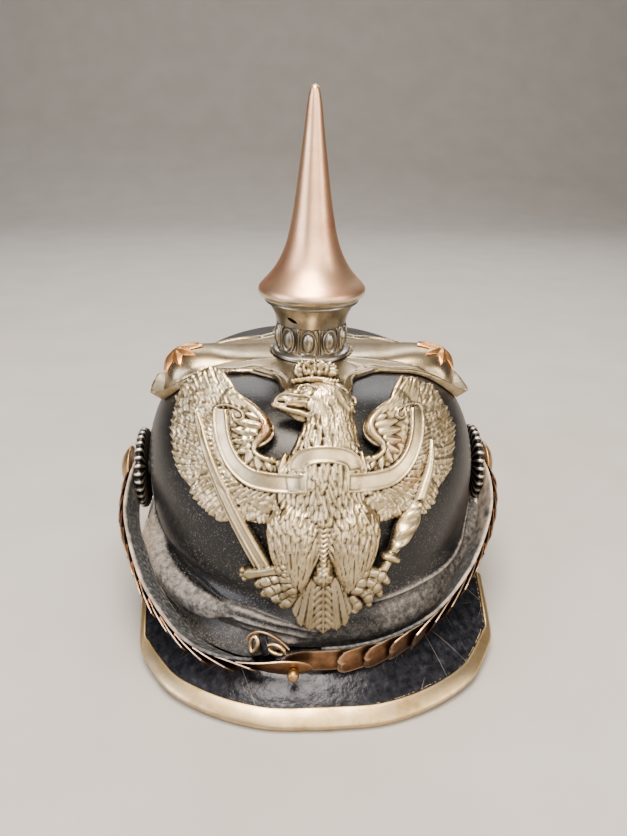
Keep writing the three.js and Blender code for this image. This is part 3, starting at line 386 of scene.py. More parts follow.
def lacquered_leather():
    """Cowhide under old black lacquer: near black with a soft gloss, settled dust and tan rubbed folds, whose ridge and
    wrinkle crests also carry painted highlight.
    """
    made, tree, bsdf, coords = new_material("lacquered_leather", Coat_Weight=0.25, Coat_Roughness=0.28)
    wear = node(tree, "ShaderNodeAttribute", attribute_name="rubbed").outputs["Fac"]
    cloud = node(tree, "ShaderNodeTexNoise", {"Vector": coords, "Scale": per_mm(34), "Detail": 4.0}).outputs["Fac"]
    lacquer = node(tree, "ShaderNodeValToRGB", {"Fac": cloud}, stops=[(0.3, "08080a"), (0.7, "151517")])
    fleck = node(tree, "ShaderNodeTexNoise", {"Vector": coords, "Scale": per_mm(0.7), "Detail": 2.0}).outputs["Fac"]
    drift = node(tree, "ShaderNodeTexNoise", {"Vector": coords, "Scale": per_mm(22), "Detail": 2.0}).outputs["Fac"]
    settled = node(tree, "ShaderNodeMath", {"Value": drift, "Value_001": 0.16}, operation="MULTIPLY").outputs[0]
    caught = node(tree, "ShaderNodeMath", {"Value": wear, "Value_001": 0.16}, operation="MULTIPLY").outputs[0]
    grey = node(tree, "ShaderNodeMath", {"Value": fleck, "Value_001": settled}, operation="ADD").outputs[0]
    grey = node(tree, "ShaderNodeMath", {"Value": grey, "Value_001": caught}, operation="ADD").outputs[0]
    dust = node(tree, "ShaderNodeMapRange", {"Value": grey, "From Min": 0.66, "From Max": 0.84}).outputs[0]
    dusted = node(
        tree,
        "ShaderNodeMix",
        {"Factor_Float": dust, "A_Color": lacquer.outputs[0], "B_Color": linear("75716c")},
        data_type="RGBA",
    ).outputs[2]
    patch = node(
        tree, "ShaderNodeTexNoise", {"Vector": coords, "Scale": per_mm(2.4), "Detail": 8.0, "Roughness": 0.7}
    ).outputs["Fac"]
    uneven = node(
        tree,
        "ShaderNodeMapRange",
        {"Value": patch, "From Min": 0.35, "From Max": 0.65, "To Min": 0.45, "To Max": 1.05},
    ).outputs[0]
    worn = node(tree, "ShaderNodeMath", {"Value": wear, "Value_001": uneven}, operation="MULTIPLY").outputs[0]
    rubbed = node(tree, "ShaderNodeMapRange", {"Value": worn, "From Min": 0.12, "From Max": 0.5}).outputs[0]
    bare = node(tree, "ShaderNodeValToRGB", {"Fac": worn}, stops=[(0.3, "5d5a58"), (0.6, "8c8782"), (0.95, "b2a290")])
    colour = node(
        tree,
        "ShaderNodeMix",
        {"Factor_Float": rubbed, "A_Color": dusted, "B_Color": bare.outputs[0]},
        data_type="RGBA",
    ).outputs[2]
    dull = node(tree, "ShaderNodeMath", {"Value": dust, "Value_001": rubbed}, operation="MAXIMUM").outputs[0]
    rough = node(tree, "ShaderNodeMapRange", {"Value": dull, "To Min": 0.36, "To Max": 0.75}).outputs[0]
    grain = node(tree, "ShaderNodeTexNoise", {"Vector": coords, "Scale": per_mm(2.2), "Detail": 6.0}).outputs["Fac"]
    surface(tree, bsdf, colour, rough, grain, 0.12)
    return made


# Spacing of the bands in a wave texture of scale 1.
WAVE_BAND = 0.314


def patent_leather():
    """Patent leather: a hard black varnish, mirror-like but crazed with fine scratches and flaked at the edge; a
    grey-blue haze in its colour is partly painted sheen.
    """
    made, tree, bsdf, coords = new_material("patent_leather", Specular_Tint=linear("dfe1ea"))
    wear = node(tree, "ShaderNodeAttribute", attribute_name="flaked").outputs["Fac"]
    scratch = 0.0
    for turn, apart, patch in ((0.5, 13, 24), (-0.4, 17, 31), (1.3, 11, 27), (2.2, 19, 22)):
        turned = node(tree, "ShaderNodeMapping", {"Vector": coords, "Rotation": (0, 0, turn)}).outputs[0]
        band = node(
            tree,
            "ShaderNodeTexWave",
            {"Vector": turned, "Scale": WAVE_BAND * per_mm(apart), "Distortion": 3.0, "Detail Scale": 0.3},
        ).outputs["Fac"]
        line = node(tree, "ShaderNodeMapRange", {"Value": band, "From Min": 0.999, "From Max": 1.0}).outputs[0]
        kept = node(
            tree, "ShaderNodeTexNoise", {"Vector": turned, "Scale": per_mm(patch), "Detail": 1.0}
        ).outputs["Fac"]
        kept = node(tree, "ShaderNodeMapRange", {"Value": kept, "From Min": 0.56, "From Max": 0.64}).outputs[0]
        line = node(tree, "ShaderNodeMath", {"Value": line, "Value_001": kept}, operation="MULTIPLY").outputs[0]
        scratch = node(tree, "ShaderNodeMath", {"Value": line, "Value_001": scratch}, operation="MAXIMUM").outputs[0]
    # Grey-blue mottled haze in the colour: clouded varnish with painted sheen.
    haze_and_sheen = node(
        tree, "ShaderNodeTexNoise", {"Vector": coords, "Scale": per_mm(3.5), "Detail": 6.0, "Roughness": 0.65}
    ).outputs["Fac"]
    hazed_sheen = node(tree, "ShaderNodeValToRGB", {"Fac": haze_and_sheen}, stops=[(0.38, "17171a"), (0.58, "2b2c31"), (0.76, "484a50")])
    fleck = node(tree, "ShaderNodeTexNoise", {"Vector": coords, "Scale": per_mm(1.6), "Detail": 4.0}).outputs["Fac"]
    broken = node(tree, "ShaderNodeMath", {"Value": wear, "Value_001": fleck}, operation="MULTIPLY").outputs[0]
    flake = node(tree, "ShaderNodeMapRange", {"Value": broken, "From Min": 0.42, "From Max": 0.5}).outputs[0]
    marks = node(tree, "ShaderNodeMath", {"Value": scratch, "Value_001": 0.6}, operation="MULTIPLY").outputs[0]
    scratched = node(
        tree,
        "ShaderNodeMix",
        {"Factor_Float": marks, "A_Color": hazed_sheen.outputs[0], "B_Color": linear("8f8b84")},
        data_type="RGBA",
    ).outputs[2]
    colour = node(
        tree,
        "ShaderNodeMix",
        {"Factor_Float": flake, "A_Color": scratched, "B_Color": linear("8b7f70")},
        data_type="RGBA",
    ).outputs[2]
    dull = node(tree, "ShaderNodeMath", {"Value": marks, "Value_001": flake}, operation="MAXIMUM").outputs[0]
    rough = node(tree, "ShaderNodeMapRange", {"Value": dull, "To Min": 0.25, "To Max": 0.6}).outputs[0]
    wave = node(tree, "ShaderNodeTexNoise", {"Vector": coords, "Scale": per_mm(4), "Detail": 3.0}).outputs["Fac"]
    surface(tree, bsdf, colour, rough, wave, 0.28)
    return made


def strap_leather():
    """Dyed strap leather, dry and dusty: grey black, lightened as painted light for its shaded inner face, with pale
    rubbed edges that are partly painted highlight.
    """
    made, tree, bsdf, coords = new_material("strap_leather")
    wear = node(tree, "ShaderNodeAttribute", attribute_name="rubbed").outputs["Fac"]
    fibre = node(tree, "ShaderNodeTexNoise", {"Vector": coords, "Scale": per_mm(1.8), "Detail": 6.0}).outputs["Fac"]
    # The grey is lighter than the leather's own dye: painted light for the shaded inner face.
    dye_with_painted_light = node(tree, "ShaderNodeValToRGB", {"Fac": fibre}, stops=[(0.35, "343637"), (0.56, "56585b"), (0.8, "8b8b8a")])
    patch = node(tree, "ShaderNodeTexNoise", {"Vector": coords, "Scale": per_mm(6), "Detail": 4.0}).outputs["Fac"]
    worn = node(tree, "ShaderNodeMath", {"Value": wear, "Value_001": patch}, operation="MULTIPLY").outputs[0]
    rubbed = node(tree, "ShaderNodeMapRange", {"Value": worn, "From Min": 0.2, "From Max": 0.6}).outputs[0]
    colour = node(
        tree,
        "ShaderNodeMix",
        {"Factor_Float": rubbed, "A_Color": dye_with_painted_light.outputs[0], "B_Color": linear("cabbad")},
        data_type="RGBA",
    ).outputs[2]
    rough = node(tree, "ShaderNodeMapRange", {"Value": fibre, "To Min": 0.5, "To Max": 0.8}).outputs[0]
    surface(tree, bsdf, colour, rough, fibre, 0.15)
    return made


def worn_metal(name, tones, smooth, rough, grain_mm, blotch_mm, depth_mm, recess=None, crest=None):
    """Bare metal with clouded tarnish: bright where rubbed, dull in the hollows with stain and painted shade."""
    made, tree, bsdf, coords = new_material(name, Metallic=1.0)
    cloud = node(
        tree, "ShaderNodeTexNoise", {"Vector": coords, "Scale": per_mm(blotch_mm), "Detail": 6.0, "Roughness": 0.6}
    ).outputs["Fac"]
    tarnish = node(tree, "ShaderNodeValToRGB", {"Fac": cloud}, stops=list(zip((0.36, 0.54, 0.72), tones)))
    colour = tarnish.outputs[0]
    roughness = node(
        tree,
        "ShaderNodeMapRange",
        {"Value": cloud, "From Min": 0.3, "From Max": 0.7, "To Min": smooth, "To Max": rough},
    ).outputs[0]
    # The hollow mask darkens the recesses: tarnish and painted shade.
    for label, shade, change in (("rubbed", crest, -0.06), ("hollow", recess, 0.3)):
        if shade:
            amount = node(tree, "ShaderNodeAttribute", attribute_name=label).outputs["Fac"]
            colour = node(
                tree,
                "ShaderNodeMix",
                {"Factor_Float": amount, "A_Color": colour, "B_Color": linear(shade)},
                data_type="RGBA",
            ).outputs[2]
            shift = node(
                tree, "ShaderNodeMath", {"Value": amount, "Value_001": change}, operation="MULTIPLY"
            ).outputs[0]
            roughness = node(
                tree, "ShaderNodeMath", {"Value": roughness, "Value_001": shift}, operation="ADD"
            ).outputs[0]
    grain = node(
        tree, "ShaderNodeTexNoise", {"Vector": coords, "Scale": per_mm(grain_mm), "Detail": 5.0}
    ).outputs["Fac"]
    surface(tree, bsdf, colour, roughness, grain, depth_mm)
    return made


lacquered = lacquered_leather()
patent = patent_leather()
strap_hide = strap_leather()
# Frosted nickel silver: pale pink with a soft broad shine, bare where rubbed.
frosted_nickel = worn_metal(
    "frosted_nickel_silver", ("f3d1b0", "e7bb9b", "cb9982"), 0.34, 0.45, 0.8, 22, 0.03, crest="dccfba"
)
# Pressed nickel silver, often cleaned: yellow grey with a clear shine.
rubbed_nickel = worn_metal("rubbed_nickel_silver", ("beae94", "aa9a80", "8b7959"), 0.22, 0.39, 0.8, 14, 0.04)
# The same left to dull: a cooler grey.
dull_nickel = worn_metal("dulled_nickel_silver", ("bab5ac", "a7a299", "868178"), 0.27, 0.42, 0.8, 10, 0.04)
# Cast nickel silver: warm and pale, dark in the hollows with tarnish and painted shade, coppery where rubbed through.
cast_silver = worn_metal(
    "cast_nickel_silver", ("dbcbac", "ccbb9b", "ad9b79"), 0.26, 0.4, 0.7, 9, 0.05, recess="38332d", crest="cf9068"
)
# Brushed strip: pale brass with a soft shine.
edging_metal = worn_metal("brushed_edging_metal", ("d8c3a0", "c9b28c", "a68f68"), 0.31, 0.46, 0.6, 10, 0.04)
# Copper with worn gilding: a bright orange gold.
gilt_copper = worn_metal("worn_gilt_copper", ("f0bf8a", "e2aa76", "b88454"), 0.32, 0.48, 0.6, 5, 0.04)
# Copper browned by age: dark, with pale rims, rubbed and partly painted highlight.
scale_copper = worn_metal(
    "browned_scale_copper", ("98785f", "80644e", "5a4637"), 0.34, 0.5, 0.6, 6, 0.04, crest="d8bca2"
)
# Copper polished by handling: pale and smooth.
boss_metal = worn_metal("pale_boss_copper", ("c9ad88", "b3936c", "8a6c4c"), 0.3, 0.46, 0.6, 7, 0.03)
# Paint on pressed metal: near black, rubbed pale on the flutes.
cockade_paint = worn_metal(
    "painted_cockade_metal", ("565452", "424143", "2c2c2d"), 0.4, 0.6, 0.8, 6, 0.05, crest="e6dfd2"
)

# Skull

skull_front = SmoothLine([(w, f, h) for h, w, f, _ in SKULL_SECTIONS])
skull_back = SmoothLine([(w, b, h) for h, w, _, b in SKULL_SECTIONS])


def bent(value):
    """Cosine or sine of a circle squared up a little."""
    return np.sign(value) * np.abs(value) ** (2 / SKULL_SQUARENESS)


def skull_face(turn, rise):
    """Outer face at a turn in degrees from the right side and a rise from base to crown."""
    turn, rise = np.broadcast_arrays(np.asarray(turn, float), np.asarray(rise, float))
    behind = np.sin(np.radians(turn))[..., None] > 0
    row = np.where(behind, skull_back.at(rise), skull_front.at(rise))
    c, s = np.cos(np.radians(turn)), np.sin(np.radians(turn))
    swell = np.zeros(turn.shape)
    for at, spread, height, band, depth in SKULL_FOLDS:
        away = (turn - at + 180) % 360 - 180
        swell += depth * np.exp(-((away / spread) ** 2) - ((row[..., 2] - height) / band) ** 2)
    width, reach = np.maximum(row[..., 0], 0), np.maximum(row[..., 1], 0)
    return np.stack([width * bent(c) + swell * c, reach * bent(s) + swell * s, row[..., 2]], axis=-1)


def skull_normal(turn, rise):
    """Outward way of the skull's face."""
    around = skull_face(turn + 1, rise) - skull_face(turn - 1, rise)
    upward = skull_face(turn, np.minimum(rise + 0.008, 0.999)) - skull_face(turn, np.maximum(rise - 0.008, 0))
    return unit(np.cross(around, upward))


def skull_point(turn, rise, out):
    """Point at millimetres out from the skull's face."""
    turn, rise = np.broadcast_arrays(np.asarray(turn, float), np.asarray(rise, float))
    return skull_face(turn, rise) + skull_normal(turn, rise) * np.asarray(out, float)[..., None]


def skull_sag(turn, height):
    """Finer folds of the old leather: distance out, drop, and how rubbed the fold is, with painted highlight on the
    ridge and wrinkle crests.
    """
    turns, creases, edges = np.transpose(SAG_LINE)
    crease, edge = np.interp(turn, turns, creases), np.interp(turn, turns, edges)
    share = (crease - height) / (crease - edge)
    sagged = smooth_step(turn, -180, -170) * (1 - smooth_step(turn, -122, -110))
    roll = smooth_step(share, 0.04, 0.6) * (1 - smooth_step(share, 0.92, 1.1))
    from_cockade = np.hypot(1.5 * np.minimum(np.abs(turn + 5), np.abs(turn + 175)), height - SIDE_AXIS[1])
    clear = smooth_step(from_cockade, 19, 27)
    plump = (ROLL_OUT[0] + ROLL_OUT[1] * (1 - smooth_step(turn, -166, -144))) * clear
    out = sagged * (plump * roll - 1.4 * np.exp(-((share / 0.09) ** 2)) - 1.6 * np.exp(-(((share - 1.16) / 0.13) ** 2)))
    drop = sagged * 1.8 * np.exp(-(((share - 0.88) / 0.2) ** 2))
    dusty = smooth_step(share, 0.06, 0.22) * (1 - smooth_step(share, 0.9, 1.02))
    rubbed = sagged * dusty * (0.62 + 0.38 * np.exp(-(((turn + 166) / 16) ** 2)))
    rubbed = np.maximum(rubbed, sagged * 0.28 * smooth_step(share, 1.15, 1.5))
    above = height - np.interp(turn, *np.transpose(RIDGE_LINE))
    ridged = smooth_step(turn, -84, -70) * (1 - smooth_step(turn, -27, -18))
    out += ridged * (1.1 * np.exp(-((above / 1.1) ** 2)) - 0.9 * np.exp(-(((above + 4) / 2.6) ** 2)))
    # Pale line along the ridge's crest: rubbed, and painted highlight.
    rubbed = np.maximum(rubbed, ridged * 0.95 * np.exp(-((above / 1.2) ** 2)))
    rubbed = np.maximum(rubbed, ridged * 0.55 * smooth_step(-above, 0, 3))
    bulged = smooth_step(turn, -52, -28) * (1 - smooth_step(turn, 0, 22))
    bulged *= smooth_step(-above, 0, 5 + 18 * smooth_step(turn, -26, -8))
    out += (BULGE_OUT[0] + BULGE_OUT[1] * smooth_step(turn, -38, -20)) * bulged * clear
    rubbed = np.maximum(rubbed, 0.6 * bulged)
    flared = smooth_step(turn, -172, -152) * (1 - smooth_step(turn, -110, -94))
    flared = flared * smooth_step(SHELF_HEIGHT - height, 0, 3)
    out += SHELF_OUT * flared
    drop += SHELF_DROP * flared
    for line in WRINKLE_LINES:
        places, heights = np.transpose(line)
        inside = smooth_step(turn, places[0] - 3, places[0] + 5) * (1 - smooth_step(turn, places[-1] - 6, places[-1]))
        crest = inside * np.exp(-(((height - np.interp(turn, places, heights)) / 0.9) ** 2))
        out += 1.1 * crest
        # Pale wrinkle crests: rubbed, and painted highlight.
        rubbed = np.maximum(rubbed, 0.7 * np.sqrt(crest))
    low = (1 - smooth_step(height, 30, 40)) * (1 - smooth_step(np.abs(turn + 100), 50, 70)) * (1 - 0.4 * flared)
    return out, drop, np.maximum(rubbed, 0.42 * low)


def build_skull():
    """Leather wall of the skull, open below, with the folds on its outer face alone."""
    turns = np.arange(360) - 180.0
    outer_rise = np.concatenate([np.linspace(*rows) for rows in SKULL_ROWS])
    inner_rise = np.linspace(SKULL_TOP_RISE, 0.0, 40)
    inner = skull_point(turns[None], inner_rise[:, None], np.full((1, 1), -LEATHER))
    inner[-1, :, 2] = SKULL_SECTIONS[0][0]
    outer = skull_point(turns[None], outer_rise[:, None], np.zeros((1, 1)))
    out, drop, rubbed = skull_sag(np.broadcast_to(turns, outer.shape[:2]), outer[..., 2])
    settled = smooth_step(outer[..., 2], 22, 26)
    outer = outer + skull_normal(turns[None], outer_rise[:, None]) * (out * settled)[..., None]
    outer[..., 2] -= drop * settled
    points, faces = loft(np.concatenate([inner, outer]))
    rubbed = np.concatenate([np.zeros(inner.shape[:2]), rubbed]).ravel()
    made = mesh_object("lacquered_skull", points, faces, lacquered, {"rubbed": rubbed})
    finish_piece(made, "lacquered_leather", "skull")


build_skull()

# Peaks


def peak_frames(edge_rows, sweep, facing, stations):
    """Edge, root, slope and upward way of a peak, from one side to the other."""
    half = SmoothLine([(a, facing * r, h) for a, r, h in edge_rows])
    share = np.linspace(-1, 1, stations)
    sign = np.where(share < 0, -1.0, 1.0)
    edge = half.along(np.abs(share) * half.length)
    edge[:, 0] *= sign
    turn = facing * 90 - facing * share * sweep
    root = skull_point(turn, np.zeros(stations), np.full(stations, -PEAK_ROOT_INSET))
    root[:, 2] = PEAK_ROOT_HEIGHT
    inward = unit(root - edge)
    along = half.tangent(np.abs(share) * half.length)
    along[:, 1:] *= sign[:, None]
    upward = unit(np.cross(along, inward)) * -facing
    return edge, root, upward


def peak_surface(frames, steps):
    """Upper face of a peak from its edge to its root, slightly arched."""
    edge, root, upward = frames
    share = np.linspace(0, 1, steps)[:, None, None]
    crown = PEAK_CROWN * 4 * share * (1 - share)
    return edge[None] * (1 - share) + root[None] * share + upward[None] * crown


def build_peak(name, node_name, frames, trim=None):
    """Peak of patent leather; its varnish has flaked along the trim, most on the right."""
    edge, root, upward = frames
    top = peak_surface(frames, PEAK_STEPS)
    below = top - upward[None] * LEATHER
    below[-1] = root - np.array([0, 0, LEATHER])
    rings = np.concatenate([top, below[::-1]]).transpose(1, 0, 2)
    rings[..., 2] = np.maximum(rings[..., 2], 0)
    points, faces = loft(rings)
    flaked = np.zeros(rings.shape[:2])
    if trim is not None:
        away = np.linspace(0, 1, PEAK_STEPS)[None] * np.linalg.norm(root - edge, axis=1)[:, None]
        near = np.exp(-(((away - trim[:, None] - 0.4) / 0.9) ** 2))
        flaked[:, :PEAK_STEPS] = near * (0.72 + 0.28 * smooth_step(edge[:, :1], -10, 50))
    made = mesh_object(name, points, faces, patent, {"flaked": flaked.ravel()})
    sharpen(made, 50)
    finish_piece(made, "patent_leather", node_name)


def build_trim(frames, widths):
    """Sheet metal folded round the edge of the front peak, rounded where it turns."""
    edge, root, upward = frames
    slope = unit(edge * 0.5 + root * 0.5 + upward * PEAK_CROWN - edge)
    outer, low = GAP + TRIM_SHEET, -LEATHER
    section = [(1, 0, GAP + 0.1), (1, 0, outer - 0.25), (1, -0.35, outer)]
    section += [(s, 0, outer + 0.25 * math.sin(math.pi * s)) for s in (0.8, 0.58, 0.36, 0.16)]
    section += [(0, 0.2, outer), (0, -0.6, outer - 0.3), (0, -outer, 0.2), (0, -outer, low - 0.2)]
    section += [(0, -0.6, low - outer + 0.3), (0, 0.2, low - outer), (TRIM_UNDER, -0.3, low - outer)]
    section += [(TRIM_UNDER, 0, low - outer + 0.3), (TRIM_UNDER, 0, low - GAP), (0, -GAP, low - GAP), (0, -GAP, GAP)]
    rings = np.stack([edge + slope * (s * widths[:, None] + e) + upward * u for s, e, u in section], axis=1)
    rings[..., 2] = np.maximum(rings[..., 2], 0)
    points, faces = loft(rings)
    made = mesh_object("front_peak_edging", points, faces, edging_metal)
    sharpen(made, 60)
    finish_piece(made, "edging_metal", "front_peak_trim")


front_frames = peak_frames(FRONT_PEAK_EDGE, FRONT_PEAK_SWEEP, -1, PEAK_STATIONS)
trim_widths = np.interp(np.abs(np.linspace(-1, 1, PEAK_STATIONS)), *np.transpose(TRIM_WIDTHS))
build_peak("front_peak_leather", "front_peak", front_frames, trim_widths)
build_trim(front_frames, trim_widths)
build_peak("rear_peak_leather", "rear_peak", peak_frames(REAR_PEAK_EDGE, REAR_PEAK_SWEEP, 1, PEAK_STATIONS))

# Eagle plate: a cast relief, laid up on a flat height field and then bent round the brow

PLATE_BEND = 88
PLATE_LINE = ((-112.9, 35), (-101.8, 94.9), (-58.9, 138))
PLATE_UNDER = -0.7
PLATE_TOP = 0.7
PLATE_PITCH = 0.47
PLATE_LOW, PLATE_HIGH = (-80, -1), (76, 123)
# Depth at which a hollow is fully darkened with tarnish and painted shade, and how much darker the back of a plate is
# made.
HOLLOW_DEPTH = 0.4
BACK_DARKENING = 0.4

# Wings in the plate's own millimetres across and up: mirror, spread, drop and narrowing of the tip.
WINGS = {"left": (-1, 1.0, 0.0, 0.0), "right": (1, 0.93, 3.5, 0.07)}
WING_PANEL = [
    (45.5, 110), (43.8, 105), (41, 101.5), (36, 99.5), (31, 97), (27, 94), (23, 90), (22, 87), (23, 84), (26, 81),
    (29, 79), (29, 76), (27, 74), (22, 73), (16, 73), (6, 70), (2, 60), (4, 49.5), (12, 48.6), (22, 48), (30, 48),
    (36, 48), (44, 45.6), (49, 46), (54, 48), (58.5, 51), (60.5, 54.4), (65, 56.4), (69, 59), (72, 64), (74, 69),
    (74.6, 75), (73.6, 82), (71.6, 89), (68.4, 96), (63.6, 101.6), (57, 106), (50, 109.4),
]
# Rows of a wing's feathers: line of the roots, line of the tips, count, half width.
FLIGHT_FEATHERS = [
    ([(33, 58), (27, 57.5), (20, 57.5)], [(37, 46.8), (29, 46.2), (21, 46.8)], 8, 2.0),
    ([(51, 62), (45, 58), (40, 56.5), (36, 56)], [(62, 51.6), (57, 47), (50.4, 44.4), (43.5, 44)], 9, 2.2),
    ([(52, 63), (54, 68), (55, 74), (55, 80), (54, 86), (52, 92), (49, 97)],
     [(69, 56.4), (73.8, 61.8), (76.2, 69), (76.8, 76), (75.4, 84), (72.7, 92), (67.7, 100), (60.7, 106), (52, 110.6)],
     21, 2.6),
]
COVERTS = [
    ([(20, 59), (29, 58.5), (38, 60), (45, 64.5), (49.5, 71), (51, 78), (50.5, 85), (48, 91), (45, 96)],
     [(26, 51.4), (36, 52), (46, 54.5), (55, 59.5), (61.5, 67), (65, 75), (65.6, 83), (64, 91), (59.5, 99),
      (52.5, 105)],
     26, 1.8),
    ([(17, 60.5), (26, 60.5), (35, 61.5), (42.5, 65), (47.5, 71), (49.5, 78), (49.5, 85), (48, 90), (46, 95)],
     [(20, 55.6), (31, 56), (42, 58.6), (50.5, 64.5), (56, 72), (58, 80), (58, 87), (56, 94), (51.5, 100)],
     30, 1.4),
]
TIP_FEATHERS = [
    ([(47, 96), (41, 98), (36, 99)], [(53, 109.4), (48.6, 111.2), (45.6, 111)], 6, 1.5),
    ([(50, 93), (44, 95), (37, 97), (31, 96.5)], [(55.5, 103.5), (50.5, 106.5), (45, 107), (42.5, 103.5)], 10, 1.4),
    ([(46, 92), (38, 94), (30, 94.5), (26.5, 92)], [(48, 99.5), (43, 101.5), (38.5, 100), (33, 97.8)], 10, 1.3),
]
# Leaf feathers between the shoulder roll and the ribbon: root across and up, tip across and up, half width.
LEAVES = [
    (19.5, 73.6, 16, 69.4, 1.7), (24, 73.6, 21.4, 69, 1.8), (28, 74.6, 27, 68.8, 1.9), (30.4, 77, 32.6, 70.6, 1.9),
    (30.6, 79.4, 36.6, 74.4, 2.0), (29.4, 82, 38.6, 79.4, 2.1), (27.4, 84.8, 39.6, 84.4, 2.2),
    (26, 88, 38.8, 88.6, 2.1), (26.4, 91, 33.4, 92.6, 1.8),
]
# Lines of the plate: across, up, half width, height.
WING_SWELL = [(34, 92, 13, 1.2), (38, 76, 17, 1.5), (22, 64, 13, 1.6)]
WING_ROLL = [
    (40, 100.8, 0.6, 0.6), (36, 99, 0.8, 0.8), (31, 96.6, 1.1, 1.1), (27, 93.4, 1.5, 1.6), (24.3, 90.2, 2.0, 2.2),
    (23.7, 87.2, 2.2, 2.5), (24.8, 84.4, 2.0, 2.3), (27.2, 81.8, 1.6, 2.0), (28.9, 79.4, 1.4, 1.8),
    (28.8, 76.8, 1.3, 1.7), (26.8, 75, 1.3, 1.7), (24, 74, 1.4, 1.9), (21, 73.8, 1.5, 2.0),
]
BODY = [
    (2, 101, 8.4, 3.2), (4, 92, 9.2, 3.7), (2.5, 84, 12.2, 4.1), (1, 72, 16, 4.4), (0, 62, 15.5, 4.0),
    (-0.5, 52, 11, 2.6), (-1, 42, 5, 1.8), (-1, 32, 4, 1.6), (-1, 25, 3.4, 1.6),
]
THIGH = [(11, 55, 6.4, 2.4), (12.9, 47, 10.7, 5.2), (12.9, 37.5, 10.7, 5.2), (12.3, 29, 8.2, 4.2), (13, 21, 4.8, 2.6)]
HEAD = [(10, 98, 4.6, 2.2), (5.6, 102, 6.8, 3.4), (0, 103.2, 6.4, 3.6), (-5, 103.4, 5, 3.2)]
# Rows of the head's feathers: line of the roots, line of the tips.
HEAD_FEATHERS = [
    ([(0, 109.4), (6, 108.6), (10.4, 106), (12.4, 102)], [(5, 107.4), (10, 105.6), (13, 102), (14, 97)]),
    ([(-2.5, 108.4), (3, 107.6), (7.6, 105.4), (10.6, 101.6)], [(2, 105.4), (6.6, 103.2), (10.4, 100), (12.6, 95.5)]),
    ([(-4, 108), (0.6, 107), (5, 104.4), (8, 100.6)], [(-0.6, 103), (3.6, 101.8), (7.4, 98.6), (9.6, 94.4)]),
    ([(-3, 104.6), (1, 103.2), (4, 100), (5.4, 96.4)], [(-1.6, 99.4), (1.8, 98), (4.6, 94.6), (6, 90.6)]),
    ([(-4.4, 101), (-1.6, 100), (0.8, 97.4), (1.8, 94.4)], [(-4.6, 96), (-2, 94.6), (0.4, 92), (1.6, 88.6)]),
]
BEAK_FORM = [
    (-1, 99, 8, 3.6), (-6, 99.4, 8.4, 3.4), (-10, 99.5, 7.8, 3.1), (-13, 99.5, 6.3, 2.8), (-16, 99.3, 4.9, 2.5),
    (-18.5, 98.8, 3.3, 2.1), (-20, 98.3, 1.7, 1.7),
]
TAIL = [
    (-5, 24, -12, 7.6, 2.8), (4.5, 24, 10.6, 7.6, 2.8), (-4.4, 25, -9.8, 3.2, 3.0), (4, 25, 8.8, 3, 3.0),
    (-2.8, 26, -6.2, 1.2, 3.0), (2.4, 26, 5.4, 1.1, 3.0),
]
RIBBON_ARM = [
    (45, 92.6, 3.6), (44.8, 89, 4), (44.2, 84, 4), (42.2, 77, 4), (38, 70.2, 4.1), (31.5, 65.6, 4.2),
    (24, 64.4, 4.3), (16, 64.4, 4.3),
]
RIBBON_ENDS = {-1: (6.6, 64.8, 4.3), 1: (9.2, 64.8, 4.3)}
RIBBON_CURL = [
    (48.6, 89, 0.6, 2.0), (47.4, 92.6, 0.6, 2.0), (43, 94.6, 0.7, 2.0), (38, 94.4, 0.7, 1.9), (34.4, 92.8, 0.7, 1.8),
    (33.8, 90.4, 0.7, 1.8), (36, 89, 0.7, 1.8), (38.4, 89.8, 0.6, 1.8), (38.6, 91.4, 0.6, 1.7),
]
RIBBON_BREAST = [
    (-10.8, 69.4, 4.2), (-10.5, 72.2, 4.1), (-8, 75.2, 3.9), (-3.4, 76.5, 3.8), (1, 76.7, 3.8), (6, 76.3, 3.8),
    (10.2, 74.8, 3.9), (12.9, 72, 4.1), (13.4, 69, 4.2),
]
SWORD_BLADE = [
    (-58.6, 88.6, 1.2, 2.0), (-56.8, 83, 2.8, 2.2), (-50.5, 68.4, 3.5, 2.3), (-40.5, 50.4, 3.8, 2.4),
    (-26.4, 28.4, 4.1, 2.5),
]
SWORD_GUARD = [
    (-34.6, 23.2, 1.9, 2.8), (-32.2, 24, 2.6, 3.1), (-28, 25.2, 2.1, 3.1), (-23, 26.8, 2.1, 3.2),
    (-18.6, 28.2, 2.4, 3.1), (-16.8, 28.6, 2.0, 2.9),
]
SCEPTRE_ROD = [
    (52.6, 75.6, 0.9, 2.2), (52, 70.5, 1.8, 2.9), (50.4, 63.5, 2.6, 3.3), (47.2, 56.6, 3.0, 3.4),
    (44.4, 51.4, 3.1, 3.4), (42.4, 48, 3.2, 3.3),
]
SCEPTRE_BULB = [
    (43.2, 49.2, 2.8, 3.0), (40.6, 45.4, 4.9, 4.0), (36.8, 40.4, 5.5, 4.4), (33.6, 36, 3.9, 3.8),
    (31.4, 33.4, 2.5, 3.2),
]
SCEPTRE_GRIP = [
    (31.2, 33.2, 2.3, 3.0), (29.4, 30.6, 2.2, 3.0), (27.4, 27.4, 2.1, 3.0), (24.6, 23.6, 2.4, 3.0),
    (20, 16, 2.6, 2.4),
]
SCEPTRE_COLLAR = [(26.4, 31.2, 1.5, 3.2), (29.2, 30.4, 2.2, 3.9), (32, 28.4, 1.9, 3.4)]
